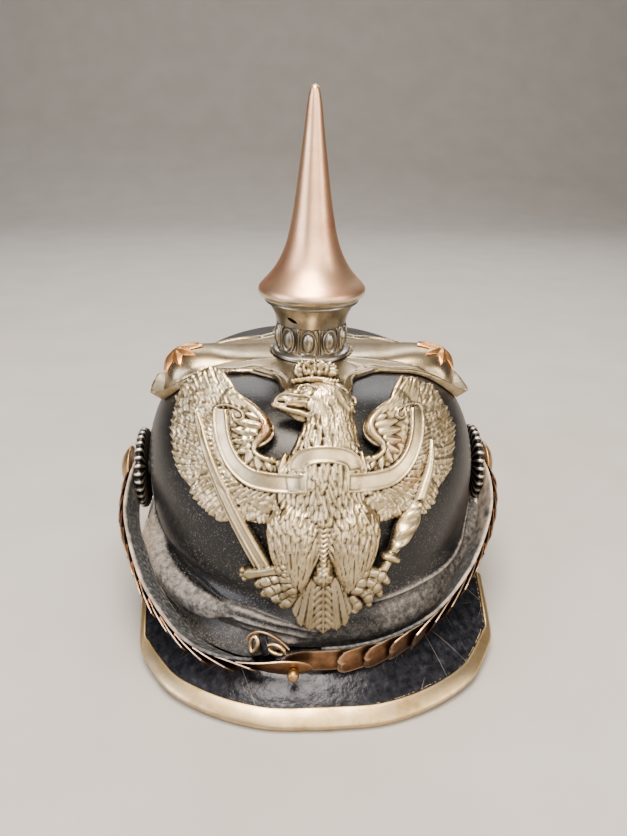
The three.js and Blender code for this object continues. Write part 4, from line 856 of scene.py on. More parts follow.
# Knuckles of the toes from the foot to the claw.
TOES = [
    [(17.6, 25.4, 2.4, 2.6), (21.4, 25, 2.4, 3.2), (25, 22.8, 2.4, 3.4), (28, 19.6, 1.8, 2.6)],
    [(15.4, 22, 2.8, 2.6), (19.4, 21, 2.5, 3.3), (23, 17.8, 2.5, 3.4), (24.6, 14.4, 1.7, 2.4)],
    [(13.6, 18.6, 2.6, 2.4), (16.6, 17, 2.4, 3.1), (19.2, 13.8, 2.4, 3.2), (19.6, 11, 1.7, 2.4)],
    [(12.4, 14.6, 2.0, 2.2), (14.6, 11, 2.3, 3.0), (13.2, 8.8, 1.7, 2.4)],
    [(-15.4, 24.6, 2.6, 2.6), (-19.6, 23.4, 3.0, 3.4), (-24.4, 21.6, 2.9, 3.4), (-28, 20, 2.2, 2.6)],
    [(-14.6, 21, 2.8, 2.6), (-18.6, 19.4, 3.0, 3.4), (-23, 17.4, 2.7, 3.2), (-25.8, 16, 1.8, 2.6)],
    [(-13, 19.4, 2.4, 2.4), (-16.4, 16.4, 2.6, 3.0), (-20.6, 14.4, 2.2, 2.8)],
    [(-12.6, 16.6, 2.0, 2.2), (-15.8, 13, 2.4, 2.8), (-17.6, 11.8, 1.6, 2.2)],
]
BEAK_RIDGE = [
    (-19.8, 99.4, 0.5, 0.8), (-18.6, 101.4, 0.7, 1.2), (-15.8, 102.8, 0.75, 1.4), (-12.6, 102.5, 0.7, 1.3),
    (-9.6, 102, 0.65, 1.2), (-6.6, 101.8, 0.65, 1.1), (-4.4, 100.8, 0.6, 0.9), (-3.4, 99.4, 0.5, 0.7),
]
BEAK_LIP = [
    (-14, 99, 0.5, 0.9), (-11, 99.1, 0.65, 1.2), (-7.6, 99.2, 0.65, 1.3), (-5.4, 98.5, 0.7, 1.3),
    (-3.8, 96.6, 0.65, 1.1), (-3.6, 94.2, 0.5, 0.8),
]
BEAK_LOWER = [
    (-19.4, 97, 0.8, 0.8), (-16.4, 96.2, 1.0, 1.0), (-13, 95.4, 1.1, 1.2), (-9, 94.5, 1.2, 1.3),
    (-4.8, 93, 1.1, 1.2),
]
MOUTH = [(-14.4, 97.4, 0.6, -1.4), (-10.6, 97.1, 0.85, -2.2), (-7.2, 96.6, 0.95, -2.4), (-5.2, 95.4, 0.7, -1.8)]
NOSTRIL = [(-18, 99.4, 0.8, -1.6), (-15.8, 99.2, 0.8, -1.4)]
BROW = [
    (-9.8, 104.8, 0.5, 1.0), (-9, 106.6, 0.65, 1.4), (-6.8, 107.5, 0.7, 1.6), (-4.4, 106.8, 0.65, 1.4),
    (-1.6, 105.4, 0.5, 1.0),
]
EYE_LID = [(-9.4, 104.5, 0.45, 0.9), (-7.2, 103.9, 0.55, 1.2), (-4.8, 104.7, 0.45, 0.9)]
EYELET = [
    (15.4, 99.6, 0.7, 1.0), (14.6, 101.4, 0.7, 1.0), (12.4, 102, 0.7, 1.2), (11, 100, 0.7, 1.4),
    (12, 97.8, 0.7, 1.2), (14.4, 97.8, 0.7, 1.0), (15.4, 99.6, 0.7, 1.0),
]
CROWN_BODY = [(-8.2, 114, 3.2, 1.8), (-2, 115.4, 4.2, 2.6), (4.6, 114.2, 3.4, 2.0)]
CROWN_BAND = [
    (-12.4, 109, 1.0, 1.8), (-8, 109.9, 1.2, 2.6), (-2.4, 110.3, 1.3, 3.0), (3.4, 109.9, 1.2, 2.6),
    (7.8, 109, 1.0, 1.8),
]
CROWN_ARCHES = [
    [(-10.4, 112), (-11, 115), (-8.6, 118), (-3, 119.4)],
    [(-6.4, 112.2), (-7, 115.4), (-5, 118.2), (-2.6, 119.4)],
    [(-2, 112.4), (-2.2, 115), (-2.2, 117.4), (-2.2, 119.4)],
    [(2.4, 112), (3, 115), (1, 118), (-1.6, 119.4)],
    [(6.6, 111.2), (8.2, 114.2), (5.6, 117.6), (-1, 119.4)],
]
# Spots where the silver is rubbed through to the copper: across, up, half sizes, amount.
COPPER_SPOTS = [(-24, 88, 2.6, 5.5, 0.75), (33, 78, 4, 4, 0.35), (39, 61, 5, 3, 0.3), (23, 86, 2, 4, 0.3)]


class Relief:
    """A cast plate as a flat height field: broad forms, with finer pieces laid over them."""

    def __init__(self, low, high, pitch):
        self.pitch = pitch
        self.dice = np.random.default_rng(11)
        self.xs = np.arange(low[0], high[0] + pitch, pitch)
        self.ys = np.arange(low[1], high[1] + pitch, pitch)
        self.across, self.up = np.meshgrid(self.xs, self.ys, indexing="ij")
        self.inside = np.full(self.across.shape, -9.0)
        self.form = np.zeros(self.across.shape)
        self.detail = np.zeros(self.across.shape)

    def window(self, points, margin):
        """Part of the grid round some points."""
        low, high = np.min(points, axis=0) - margin, np.max(points, axis=0) + margin
        across = slice(np.searchsorted(self.xs, low[0]), np.searchsorted(self.xs, high[0]))
        up = slice(np.searchsorted(self.ys, low[1]), np.searchsorted(self.ys, high[1]))
        return across, up

    def near(self, rows, steps=40):
        """Window round a line, with each spot's distance aside, share of the line and the line's columns."""
        samples = SmoothLine(rows).at(np.linspace(0, 1, steps))
        window = self.window(samples[:, :2], samples[:, 2:3].max() + 1.5 if samples.shape[1] > 2 else 3)
        spots = np.stack([self.across[window], self.up[window]], axis=-1)[:, :, None]
        start, step = samples[:-1, :2], np.diff(samples[:, :2], axis=0)
        part = np.clip(((spots - start) * step).sum(-1) / (step**2).sum(-1), 0, 1)
        off = spots - start - part[..., None] * step
        nearest = np.argmin((off**2).sum(-1), axis=-1)

        def pick(field):
            return np.take_along_axis(field, nearest[..., None], axis=2)[..., 0]

        part, gap = pick(part), np.sqrt(pick((off**2).sum(-1)))
        side = np.sign(pick(step[:, 0] * off[..., 1] - step[:, 1] * off[..., 0]))
        columns = samples[nearest] + part[..., None] * (samples[nearest + 1] - samples[nearest])
        return window, gap * side, (nearest + part) / (steps - 1), columns

    def lay(self, window, inside, detail, soft=0.55):
        """Lays a finer piece over the detail, soft at its edge."""
        cover = smooth_step(inside, -0.15, soft)
        self.detail[window] += (detail - self.detail[window]) * cover
        self.inside[window] = np.maximum(self.inside[window], inside)

    def roughen(self, size, amount):
        """Uneven skin of a casting."""
        noise = np.fft.rfft2(self.dice.normal(0, 1, self.across.shape))
        waves = np.fft.fftfreq(len(self.xs), self.pitch)[:, None] ** 2
        waves = waves + np.fft.rfftfreq(len(self.ys), self.pitch)[None] ** 2
        noise = np.fft.irfft2(noise * np.exp(-waves * (np.pi * size / 2) ** 2), s=self.across.shape)
        self.detail += amount * noise / noise.std()

    def panel(self, loop, past=0.0):
        """Flat sheet inside a smooth closed loop and a little past it."""
        closed = SmoothLine(list(loop) + [loop[0]]).at(np.linspace(0, 1, 8 * len(loop)))
        window = self.window(closed, 2)
        spots = np.stack([self.across[window], self.up[window]], axis=-1)
        crossed = np.zeros(spots.shape[:2], bool)
        nearest = np.full(spots.shape[:2], 99.0)
        for start, end in zip(closed[:-1], closed[1:]):
            step = end - start
            part = np.clip(((spots - start) * step).sum(-1) / max((step**2).sum(), 1e-9), 0, 1)
            nearest = np.minimum(nearest, np.linalg.norm(spots - start - part[..., None] * step, axis=-1))
            between = (start[1] > spots[..., 1]) != (end[1] > spots[..., 1])
            at = start[0] + step[0] * (spots[..., 1] - start[1]) / (step[1] if step[1] else 1e-9)
            crossed ^= between & (spots[..., 0] < at)
        self.inside[window] = np.maximum(self.inside[window], np.where(crossed, nearest, -nearest) + past)

    def swell(self, rows, grows=True):
        """Broad rounded form along a line, which may also widen the plate."""
        window, aside, _, row = self.near(rows)
        rise = row[..., 3] * np.clip(1 - (aside / row[..., 2]) ** 2, 0, 1) ** 0.6
        self.form[window] = (self.form[window] ** 4 + rise**4) ** 0.25
        if grows:
            self.inside[window] = np.maximum(self.inside[window], row[..., 2] - np.abs(aside))

    def bar(self, rows, section=None):
        """Raised bar along a line; section shapes its height by the share aside, the share along and millimetres."""
        window, aside, share, row = self.near(rows)
        across = aside / row[..., 2]
        rounded = np.clip(1 - across**2, 0, 1) ** 0.5 if section is None else section(across, share, aside)
        self.lay(window, row[..., 2] - np.abs(aside), row[..., 3] * rounded)

    def ribbon(self, rows, level, cord):
        """Flat ribbon with square ends and a raised cord all round its edge."""
        window, aside, share, row = self.near(rows)
        length = np.linalg.norm(np.diff(SmoothLine(rows).at(np.linspace(0, 1, 40))[:, :2], axis=0), axis=1).sum()
        edge = np.minimum(row[..., 2] - np.abs(aside), np.minimum(share, 1 - share) * length)
        edge = np.where((share <= 0) | (share >= 1), -np.abs(aside), edge)
        self.lay(window, edge, level + cord * np.exp(-(((edge - 0.75) / 0.5) ** 2)), 0.35)

    def grit(self, low, high, count, amount):
        """Small rough lumps scattered over a cast part."""
        for spot in self.dice.uniform(low, high, (count, 2)):
            window = self.window([spot], 2)
            gap = np.hypot(self.across[window] - spot[0], self.up[window] - spot[1])
            self.detail[window] += amount * np.exp(-((gap / 0.75) ** 2))

    def feather(
        self, root, tip, half, rise=0.5, crown=0.35, quill=0.2, barb=0.0, strand=0.0, pitch=1.5, point=0.5,
        base=0.0, bend=0.0,
    ):
        """One feather, lifting towards its tip, with a quill, and slanted barbs or fine strands along it."""
        root, tip = np.array(root, float), np.array(tip, float)
        length = np.linalg.norm(tip - root)
        way = (tip - root) / length
        window = self.window([root, tip], half + 1)
        x, y = self.across[window] - root[0], self.up[window] - root[1]
        share = (x * way[0] + y * way[1]) / length
        aside = y * way[0] - x * way[1] + bend * length * share**2
        ending = np.clip((share - 1 + point) / point, 0, 1)
        wide = half * (0.7 + 0.3 * smooth_step(share, 0, 0.5)) * np.sqrt(np.maximum(1 - ending**2, 0))
        inside = np.minimum(wide - np.abs(aside), share * length)
        inside = np.where(share > 1, -(share - 1) * length - np.abs(aside) * 0.3, inside)
        high = base + rise * (0.1 + 0.9 * np.clip(share, 0, 1))
        high = high + crown * np.clip(1 - (aside / np.maximum(wide, 0.05)) ** 2, 0, 1)
        high = high + quill * np.exp(-((aside / 0.42) ** 2))
        slant = np.cos(2 * np.pi * (share * length - np.abs(aside)) / pitch)
        high = high - barb * (0.5 + 0.5 * slant) * smooth_step(np.abs(aside), 0.3, 0.8)
        high = high + strand * np.cos(2 * np.pi * aside / pitch)
        self.lay(window, inside, high)

    def feather_row(self, roots, tips, count, half, stagger=0.0, stray=0.5, **form):
        """Feathers side by side, from a line of roots to a line of tips, each a little astray."""
        shares = (np.arange(count) + stagger) / (count - 1 + stagger)
        for root, tip in zip(SmoothLine(roots).at(shares), SmoothLine(tips).at(shares)):
            astray = self.dice.normal(0, 1, 3)
            self.feather(root, tip + stray * astray[:2], half, bend=0.1 * stray * astray[2], **form)

    def dot(self, spot, radius, height):
        """Round knob."""
        window = self.window([spot], radius + 1)
        gap = np.hypot(self.across[window] - spot[0], self.up[window] - spot[1])
        self.lay(window, radius - gap, height * np.sqrt(np.clip(1 - (gap / radius) ** 2, 0, 1)) + height * 0.4, 0.3)


def bone_section(across, share, aside):
    """Flat-topped bar with rounded edges."""
    return np.clip(1 - across**4, 0, 1) ** 0.5


def blade_section(across, share, aside):
    """Sword blade with a bevel and two ridges beside its flat."""
    ridges = np.exp(-(((across + 0.28) / 0.12) ** 2)) + np.exp(-(((across - 0.62) / 0.12) ** 2))
    return 0.72 + 0.3 * ridges - 0.3 * smooth_step(-across, 0.4, 0.6) + 0.08 * smooth_step(across, -0.2, 0.2)


def twisted_section(across, share, aside):
    """Rounded bulb wound with slanting flutes."""
    flutes = np.sin(2 * np.pi * (share * 2.6 + across * 0.55))
    return np.clip(1 - across**2, 0, 1) ** 0.5 * (0.9 + 0.16 * flutes)


def wing_frame(points, mirror, spread, drop, narrow):
    """Puts a wing's own across and up on its side of the plate; further columns are kept."""
    placed = np.array(points, float)
    high = placed[:, 1].copy()
    placed[:, 0] *= mirror * spread * (1 - narrow * smooth_step(high, 72, 98))
    placed[:, 1] -= drop * smooth_step(high, 84, 110)
    return placed


def lay_wing(relief, wing):
    """One wing: sheet, rows of feathers, leaf feathers and the rolled shoulder."""
    relief.panel(wing_frame(WING_PANEL, *wing), 1.6)
    relief.swell(wing_frame(WING_SWELL, *wing), grows=False)

    def feathers(rows, **form):
        for roots, tips, count, half in rows:
            relief.feather_row(wing_frame(roots, *wing), wing_frame(tips, *wing), count, half, **form)

    feathers(FLIGHT_FEATHERS, rise=0.45, crown=0.45, quill=0.12, barb=0.14, strand=0.06, point=0.3, stray=0.45)
    feathers(
        COVERTS, rise=0.45, crown=0.4, quill=0.12, barb=0.1, strand=0.04, pitch=1.4, base=0.15, point=0.4, stray=0.9
    )
    relief.roughen(1.6, 0.09)
    feathers(TIP_FEATHERS, rise=0.4, crown=0.35, quill=0.15, base=0.2, point=0.5, stray=0.5)
    for *line, half in LEAVES:
        root, tip = wing_frame([line[:2], line[2:]], *wing)
        relief.feather(root, tip, half, rise=0.5, crown=0.5, quill=0.25, point=0.75, base=0.3)
    relief.bar(wing_frame(WING_ROLL, *wing))
    relief.dot(wing_frame([WING_ROLL[-1][:2]], *wing)[0], 1.7, 1.6)


def lay_body(relief):
    """Body with tail, thighs, belly, breast and neck."""
    relief.swell(BODY)
    for mirror in (-1, 1):
        relief.swell([(mirror * a, u, h, r) for a, u, h, r in THIGH])
    relief.swell([(-0.4, 50, 5, 2.8), (-0.4, 38, 4.4, 2.8), (-0.4, 26, 4.6, 2.6)])
    # Tail under the thighs, then thighs, belly, breast and neck from below upwards.
    for *line, half in TAIL:
        relief.feather(line[:2], line[2:], half, rise=0.7, crown=0.8, quill=0.5, strand=0.2, point=0.14, base=0.4)
    relief.feather(
        (-0.4, 30), (-0.4, 0.4), 4.2, rise=1.1, crown=0.8, quill=0.8, barb=0.55, pitch=3, point=0.12, base=0.5
    )
    for mirror in (-1, 1):
        for row, level in enumerate(np.arange(27, 52, 2.6)):
            wide = 9.4 * smooth_step(level, 18, 40) + 1.8
            short = smooth_step(level, 38, 46)
            roots = [(mirror * (12.5 + s * wide), level + 2 - 2 * s * s) for s in (-1, 0, 1)]
            tips = [
                (mirror * (12.4 + (0.62 + 0.3 * short) * s * wide), level - 9 + 4.6 * short - s * s)
                for s in (-1, 0, 1)
            ]
            relief.feather_row(
                roots, tips, 13, 0.95 + 0.6 * short,
                stagger=row % 2 / 2, stray=0.7, rise=0.95, base=0.2, crown=0.8, point=0.6,
            )
    for level in np.arange(29, 49, 2.1):
        wide = 0.9 + 1.4 * smooth_step(level, 28, 48)
        relief.bar(
            [(-wide - 0.4, level + 0.8, 0.8, 1.0), (-0.4, level - 0.6, 1.0, 1.5), (wide - 0.4, level + 0.8, 0.8, 1.0)]
        )
    for row, level in enumerate(np.arange(53.5, 76, 2.3)):
        wide = 13.5 + 3 * smooth_step(level, 50, 66)
        roots = [(s * wide, level + 3.5 * s * s) for s in (-1, -0.5, 0, 0.5, 1)]
        tips = [(1.15 * s * wide, level - 6.6 + 1.6 * s * s) for s in (-1, -0.5, 0, 0.5, 1)]
        relief.feather_row(
            roots, tips, 14, 1.5, stagger=row % 2 / 2, stray=0.9, rise=1.1, base=0.2, crown=0.8, quill=0.35, point=0.5
        )
    for row, level in enumerate(np.arange(83, 104, 1.9)):
        left, right = -10 + 6.5 * smooth_step(level, 83, 99), 14.4 - 2.4 * smooth_step(level, 84, 104)
        roots = [(left, level), (left * 0.4 + right * 0.6, level + 1), (right, level - 1)]
        tips = [(left - 1.5, level - 6.4), (left * 0.4 + right * 0.6 + 0.6, level - 6.6), (right + 0.8, level - 6.2)]
        relief.feather_row(
            roots, tips, 15, 1.0, stagger=row % 2 / 2, stray=0.9, rise=1.0, base=0.2, crown=0.7, quill=0.25, point=0.75
        )


def lay_ribbon(relief):
    """Bare ribbon: the piece across the breast, then an arm over each wing with its curled end."""
    relief.ribbon(RIBBON_BREAST, 1.3, 0.7)
    for mirror in (-1, 1):
        arm = [(mirror * a, u, h) for a, u, h in RIBBON_ARM + [RIBBON_ENDS[mirror]]]
        relief.ribbon(arm, 1.35, 0.75)
        relief.bar([(mirror * a, u, h, r) for a, u, h, r in RIBBON_CURL])


def lay_head(relief):
    """Head with beak and eye, and the crown over it."""
    relief.bar(EYELET)
    relief.swell(HEAD)
    for roots, tips in HEAD_FEATHERS:
        relief.feather_row(roots, tips, 12, 0.85, stray=0.4, rise=0.6, base=0.2, crown=0.6, quill=0.25, point=0.7)
    relief.swell(BEAK_FORM)
    for line in (NOSTRIL, MOUTH, BEAK_LOWER, BEAK_RIDGE, BEAK_LIP, BROW, EYE_LID):
        relief.bar(line)
    relief.dot((-7, 105.5), 0.8, 1.0)
    relief.swell(CROWN_BODY)
    for arch in CROWN_ARCHES:
        for spot in SmoothLine(arch).at(np.linspace(0.08, 1, 8)):
            relief.dot(spot, 0.85, 1.0)
    relief.bar(CROWN_BAND)
    for spot in SmoothLine([row[:2] for row in CROWN_BAND]).at(np.linspace(0.02, 0.98, 13)):
        relief.dot(spot, 0.8, 2.2)
    relief.grit((-10.5, 111.6), (7, 118.4), 110, 0.5)


def lay_arms(relief):
    """Sword in the left claw and sceptre in the right one."""
    relief.bar(SWORD_BLADE, blade_section)
    relief.bar(SCEPTRE_GRIP)
    for toe in TOES:
        relief.bar([(across, up, half, 0.8 * height) for across, up, half, height in toe])
        across, up, half, height = toe[-2]
        relief.dot((across, up), 1.04 * half, 0.52 * height)
    relief.grit((-29, 12), (-14, 24), 40, 0.3)
    relief.bar(SWORD_GUARD, bone_section)
    for spot in ((-35, 25), (-34, 21.6), (-16.6, 30.2), (-16.2, 27)):
        relief.dot(spot, 1.4, 2.0)
    relief.bar(SCEPTRE_ROD)
    relief.bar(SCEPTRE_BULB, twisted_section)
    relief.bar(SCEPTRE_COLLAR)


def eagle_relief():
    """The whole eagle, from the wings behind to the arms in front."""
    relief = Relief(PLATE_LOW, PLATE_HIGH, PLATE_PITCH)
    for wing in WINGS.values():
        lay_wing(relief, wing)
    lay_body(relief)
    lay_head(relief)
    lay_ribbon(relief)
    lay_arms(relief)
    return relief


def plate_solid(relief, place, under):
    """Closed plate cut along the edge of a relief: points, faces and how deep each point lies in a hollow."""
    height = relief.form + relief.detail
    # How deep a spot lies below the blurred relief round it: drives tarnish and painted shade in the hollows.
    kernel = np.exp(-np.linspace(-2, 2, 2 * round(1.3 / relief.pitch) + 3) ** 2)
    kernel /= kernel.sum()
    around = height
    for axis in (0, 1):
        around = np.apply_along_axis(np.convolve, axis, around, kernel, "same")
    sunk = np.clip((around - height) / HOLLOW_DEPTH, 0, 1)
    within = relief.inside > 0
    index = np.full(within.shape, -1)
    index[within] = np.arange(within.sum())
    spots = np.column_stack([f[within] for f in (relief.across, relief.up, height, sunk)]).tolist()
    cut = {}

    def crossing(a, b):
        """Point where the edge of the plate crosses between a grid spot inside and one outside."""
        if (a, b) not in cut:
            share = np.clip(relief.inside[a] / (relief.inside[a] - relief.inside[b]), 0.1, 0.9)
            cut[a, b] = len(spots)
            across = relief.across[a] + share * (relief.across[b] - relief.across[a])
            up = relief.up[a] + share * (relief.up[b] - relief.up[a])
            spots.append([across, up, 0.7 * height[a], sunk[a]])
        return cut[a, b]

    steps = ((0, 0), (1, 0), (1, 1), (0, 1))
    rows, columns = within.shape
    count = sum(within[i : rows - 1 + i, j : columns - 1 + j].astype(int) for i, j in steps)
    x, y = np.nonzero(count == 4)
    faces = np.stack([index[x + i, y + j] for i, j in steps], axis=1).tolist()
    rim = []
    for x, y in zip(*np.nonzero((count > 0) & (count < 4))):
        corners = [(x + i, y + j) for i, j in steps]
        loop, leaving, entering = [], [], []
        for here, there in zip(corners, corners[1:] + corners[:1]):
            if within[here]:
                loop.append(index[here])
            if within[here] and not within[there]:
                leaving.append(len(loop))
                loop.append(crossing(here, there))
            elif within[there] and not within[here]:
                entering.append(len(loop))
                loop.append(crossing(there, here))
        faces.append([int(i) for i in loop])
        for k in leaving:
            following = min(entering, key=lambda e: (e - k) % len(loop))
            rim.append((loop[k], loop[following]))
    spots = np.array(spots)
    top = place(spots[:, 0], spots[:, 1], spots[:, 2])
    back = place(spots[:, 0], spots[:, 1], np.full(len(spots), float(under)))
    total = len(spots)
    faces += [[i + total for i in face[::-1]] for face in faces]
    faces += [[b, a, a + total, b + total] for a, b in rim]
    # The back of the plate is made darker.
    return np.vstack([top, back]), faces, np.concatenate([spots[:, 3], np.full(total, BACK_DARKENING)]), spots


plate_shares = np.linspace(0, 1, 201)
foot, belly, head = (np.array(p) for p in PLATE_LINE)
plate_spots = np.array([(1 - t) ** 2 * foot + 2 * t * (1 - t) * belly + t * t * head for t in plate_shares])
plate_marks = np.concatenate([[0], np.cumsum(np.linalg.norm(np.diff(plate_spots, axis=0), axis=1))])


def on_plate(across, up, out):
    """Point of the bent plate at millimetres across, up and out from its sheet."""
    share = np.interp(up, plate_marks, plate_shares)[:, None]
    spot = (1 - share) ** 2 * foot + 2 * share * (1 - share) * belly + share**2 * head
    way = unit((1 - share) * (belly - foot) + share * (head - belly))
    spot = spot + way * (up - np.clip(up, 0, plate_marks[-1]))[:, None]
    radius = PLATE_BEND + out * way[:, 1]
    turn = across / PLATE_BEND
    return np.column_stack(
        [radius * np.sin(turn), spot[:, 0] + PLATE_BEND - radius * np.cos(turn), spot[:, 1] + out * way[:, 0]]
    )


def build_eagle():
    """Cast plate, darker in its hollows with tarnish and painted shade, darker towards the tail, and rubbed through to
    copper in spots.
    """
    relief = eagle_relief()
    points, faces, hollow, spots = plate_solid(
        relief, lambda a, u, h: on_plate(a, u, h + PLATE_TOP), PLATE_UNDER - PLATE_TOP
    )
    rubbed = sum(
        amount * np.exp(-(((spots[:, 0] - across) / wide) ** 2) - ((spots[:, 1] - up) / tall) ** 2)
        for across, up, wide, tall, amount in COPPER_SPOTS
    )
    # The lower part of the plate, round the tail, is made darker; the hollow mask carries it with the hollows and the
    # back.
    darker_low = np.tile(0.45 * smooth_step(-spots[:, 1], -34, -14), 2)
    wear = {"hollow": np.maximum(hollow, darker_low), "rubbed": np.tile(rubbed, 2)}
    made = mesh_object("eagle_relief", points, faces, cast_silver, wear)
    finish_piece(made, "cast_silver", "eagle_plate")


build_eagle()

# Cross base and stars

ALONG_STEP, TURN_STEP = 0.5, 2
along_marks = np.arange(0, 100, ALONG_STEP)
meridian_turns = np.arange(0, 360 + TURN_STEP, TURN_STEP)
meridian_rises = np.linspace(1, 0.2, 260)


def meridian_table():
    """Rise of the skull at each distance from the crown, for each turn."""
    table = []
    for turn in meridian_turns:
        line = skull_face(np.full(meridian_rises.shape, float(turn)), meridian_rises)
        gone = np.concatenate([[0], np.cumsum(np.linalg.norm(np.diff(line, axis=0), axis=1))])
        table.append(np.interp(along_marks, gone, meridian_rises))
    return np.array(table)


rise_table = meridian_table()


def on_crown(x, y, out):
    """Point over the skull at a plan place measured along the skull from the crown, and a distance out from it."""
    turn = np.degrees(np.arctan2(y, x)) % 360
    along = np.hypot(x, y)
    i, j = turn / TURN_STEP, np.clip(along / ALONG_STEP, 0, len(along_marks) - 2)
    i0, j0 = i.astype(int), j.astype(int)
    di, dj = i - i0, j - j0
    rise = (rise_table[i0, j0] * (1 - dj) + rise_table[i0, j0 + 1] * dj) * (1 - di)
    rise = rise + (rise_table[i0 + 1, j0] * (1 - dj) + rise_table[i0 + 1, j0 + 1] * dj) * di
    return skull_point(turn, np.minimum(rise, SKULL_TOP_RISE), out)


arm_line = SmoothLine(ARM_STATIONS).at(np.linspace(0, 1, 240))


def arm_shape(along, across):
    """Height of an arm above its seat and how far inside its edge a place lies."""
    half, ridge, swell, lip = (np.interp(along, arm_line[:, 0], arm_line[:, k]) for k in (1, 2, 3, 4))
    share = np.clip(np.abs(across) / half, 0, 1)
    dome = swell * np.clip(1 - (across / ridge) ** 2, 0, 1) ** 0.8
    end = smooth_step(along, 81, 84) * lip
    height = np.maximum(ARM_SHEET + dome + lip * share**6, ARM_SHEET + end)
    return height, np.minimum(half - np.abs(across), ARM_STATIONS[-1][0] - along)


def build_cross_base():
    """Pressed cross: four swelling arms and the web between them, with a stepped border all round."""
    relief = Relief(CROSS_LOW, CROSS_HIGH, CROSS_PITCH)
    x, y = relief.across, relief.up
    away = np.hypot(x, y)
    surface = on_crown(x.ravel(), y.ravel(), np.zeros(x.size)).reshape(*x.shape, 3)
    radius = np.hypot(surface[..., 0], surface[..., 1])
    height = np.full(x.shape, WEB_TOP - ARM_SEAT)
    inside = WEB_REACH - away
    for turn, length in ARMS.values():
        off = (np.degrees(np.arctan2(y, x)) - turn + 180) % 360 - 180
        near = np.radians(np.clip(off, -ARM_SECTOR, ARM_SECTOR))
        high, within = arm_shape(away / length, radius * np.tan(near))
        within = np.where(np.abs(off) < ARM_SECTOR, within * np.cos(near), -60)
        height = np.where(within > -2, np.maximum(height, high), height)
        inside = CROSS_FILLET * np.logaddexp(inside / CROSS_FILLET, within / CROSS_FILLET)
    border = 0.7 * np.exp(-(((inside - 1.9) / 1.3) ** 2)) - 0.6 * np.exp(-(((inside - 4.6) / 1.1) ** 2))
    height = height + border * smooth_step(inside, 0, 0.8)
    seat = CROWN_DISC_TOP - surface[..., 2] - ARM_SEAT
    relief.form = np.where(away < NECK_SEAT_RADIUS, np.minimum(height, seat), height)
    relief.inside = inside
    points, faces, _, _ = plate_solid(relief, lambda a, u, h: on_crown(a, u, h + ARM_SEAT), 0)
    made = mesh_object("cross_base_pressing", points, faces, rubbed_nickel)
    sharpen(made, 60)
    finish_piece(made, "nickel_silver", "cross_base")


def build_star(name):
    """Leaf star lying on the swelling of an arm: pointed leaves with a sharp rib, parted by grooves."""
    turn, length = ARMS[name]
    relief = Relief((-12, -12), (12, 12), STAR_PITCH)
    x, y = relief.across, relief.up
    away = np.hypot(x, y)
    part = 2 * math.pi / STAR_LEAVES
    off = (np.arctan2(y, x) + part / 2) % part - part / 2
    aside, along = np.abs(away * np.sin(off)), away * np.cos(off)
    share = along / STAR_TIP
    leaf = STAR_LEAF_HALF * np.clip(np.sin(np.pi * np.clip(share, 0.02, 1) ** 0.72), 0, 1) ** 0.8
    relief.inside = np.where(share < 1, np.maximum(leaf - aside, STAR_HUB - away), -1)
    relief.form = 0.5 + 1.3 * np.clip(1 - aside / np.maximum(leaf, 0.3), 0, 1) * np.clip(1.1 - share * 0.6, 0, 1)
    relief.form = np.maximum(relief.form, 2.1 * np.clip(1 - (away / 3) ** 2, 0, 1) ** 0.5)
    c, s = math.cos(math.radians(turn)), math.sin(math.radians(turn))

    def place(a, u, h):
        """Point on the swelling at millimetres along, across and out from the star's middle."""
        high, _ = arm_shape(STAR_SEAT + a, u)
        px, py = (STAR_SEAT + a) * length, u
        return on_crown(px * c - py * s, px * s + py * c, high + ARM_SEAT + h + 0.25)

    points, faces, _, _ = plate_solid(relief, place, 0.1)
    made = mesh_object("leaf_star_" + name, points, faces, gilt_copper)
    sharpen(made, 40)
    finish_piece(made, "gilt_copper", "star_" + name)


build_cross_base()
for star_name in ("right", "back", "left"):
    build_star(star_name)

# Turned pieces


def node_group(name, *inputs):
    """An empty Geometry Nodes tree with its named inputs; returns it, its input node's outputs and its output node."""
    tree = bpy.data.node_groups.new(name, "GeometryNodeTree")
    tree.interface.new_socket("Geometry", in_out="INPUT", socket_type="NodeSocketGeometry")
    for label, kind in inputs:
        tree.interface.new_socket(label, in_out="INPUT", socket_type="NodeSocket" + kind)
    tree.interface.new_socket("Geometry", in_out="OUTPUT", socket_type="NodeSocketGeometry")
    return tree, node(tree, "NodeGroupInput").outputs, node(tree, "NodeGroupOutput")


def grow(made, tree, **values):
    """Runs a tree on an object with these inputs and keeps the result as plain mesh."""
    grown = made.modifiers.new(tree.name, "NODES")
    grown.node_group = tree
    for item in tree.interface.items_tree:
        if item.in_out == "INPUT" and item.name.lower().replace(" ", "_") in values:
            grown[item.identifier] = values[item.name.lower().replace(" ", "_")]
    return plain_mesh(made)


def close_tree(tree, given, out, geometry):
    """Ends a tree with real geometry in the piece's material."""
    real = node(tree, "GeometryNodeRealizeInstances", {"Geometry": geometry})
    coloured = node(tree, "GeometryNodeSetMaterial", {"Geometry": real.outputs[0], "Material": given["Material"]})
    tree.links.new(coloured.outputs[0], out.inputs[0])
    return tree


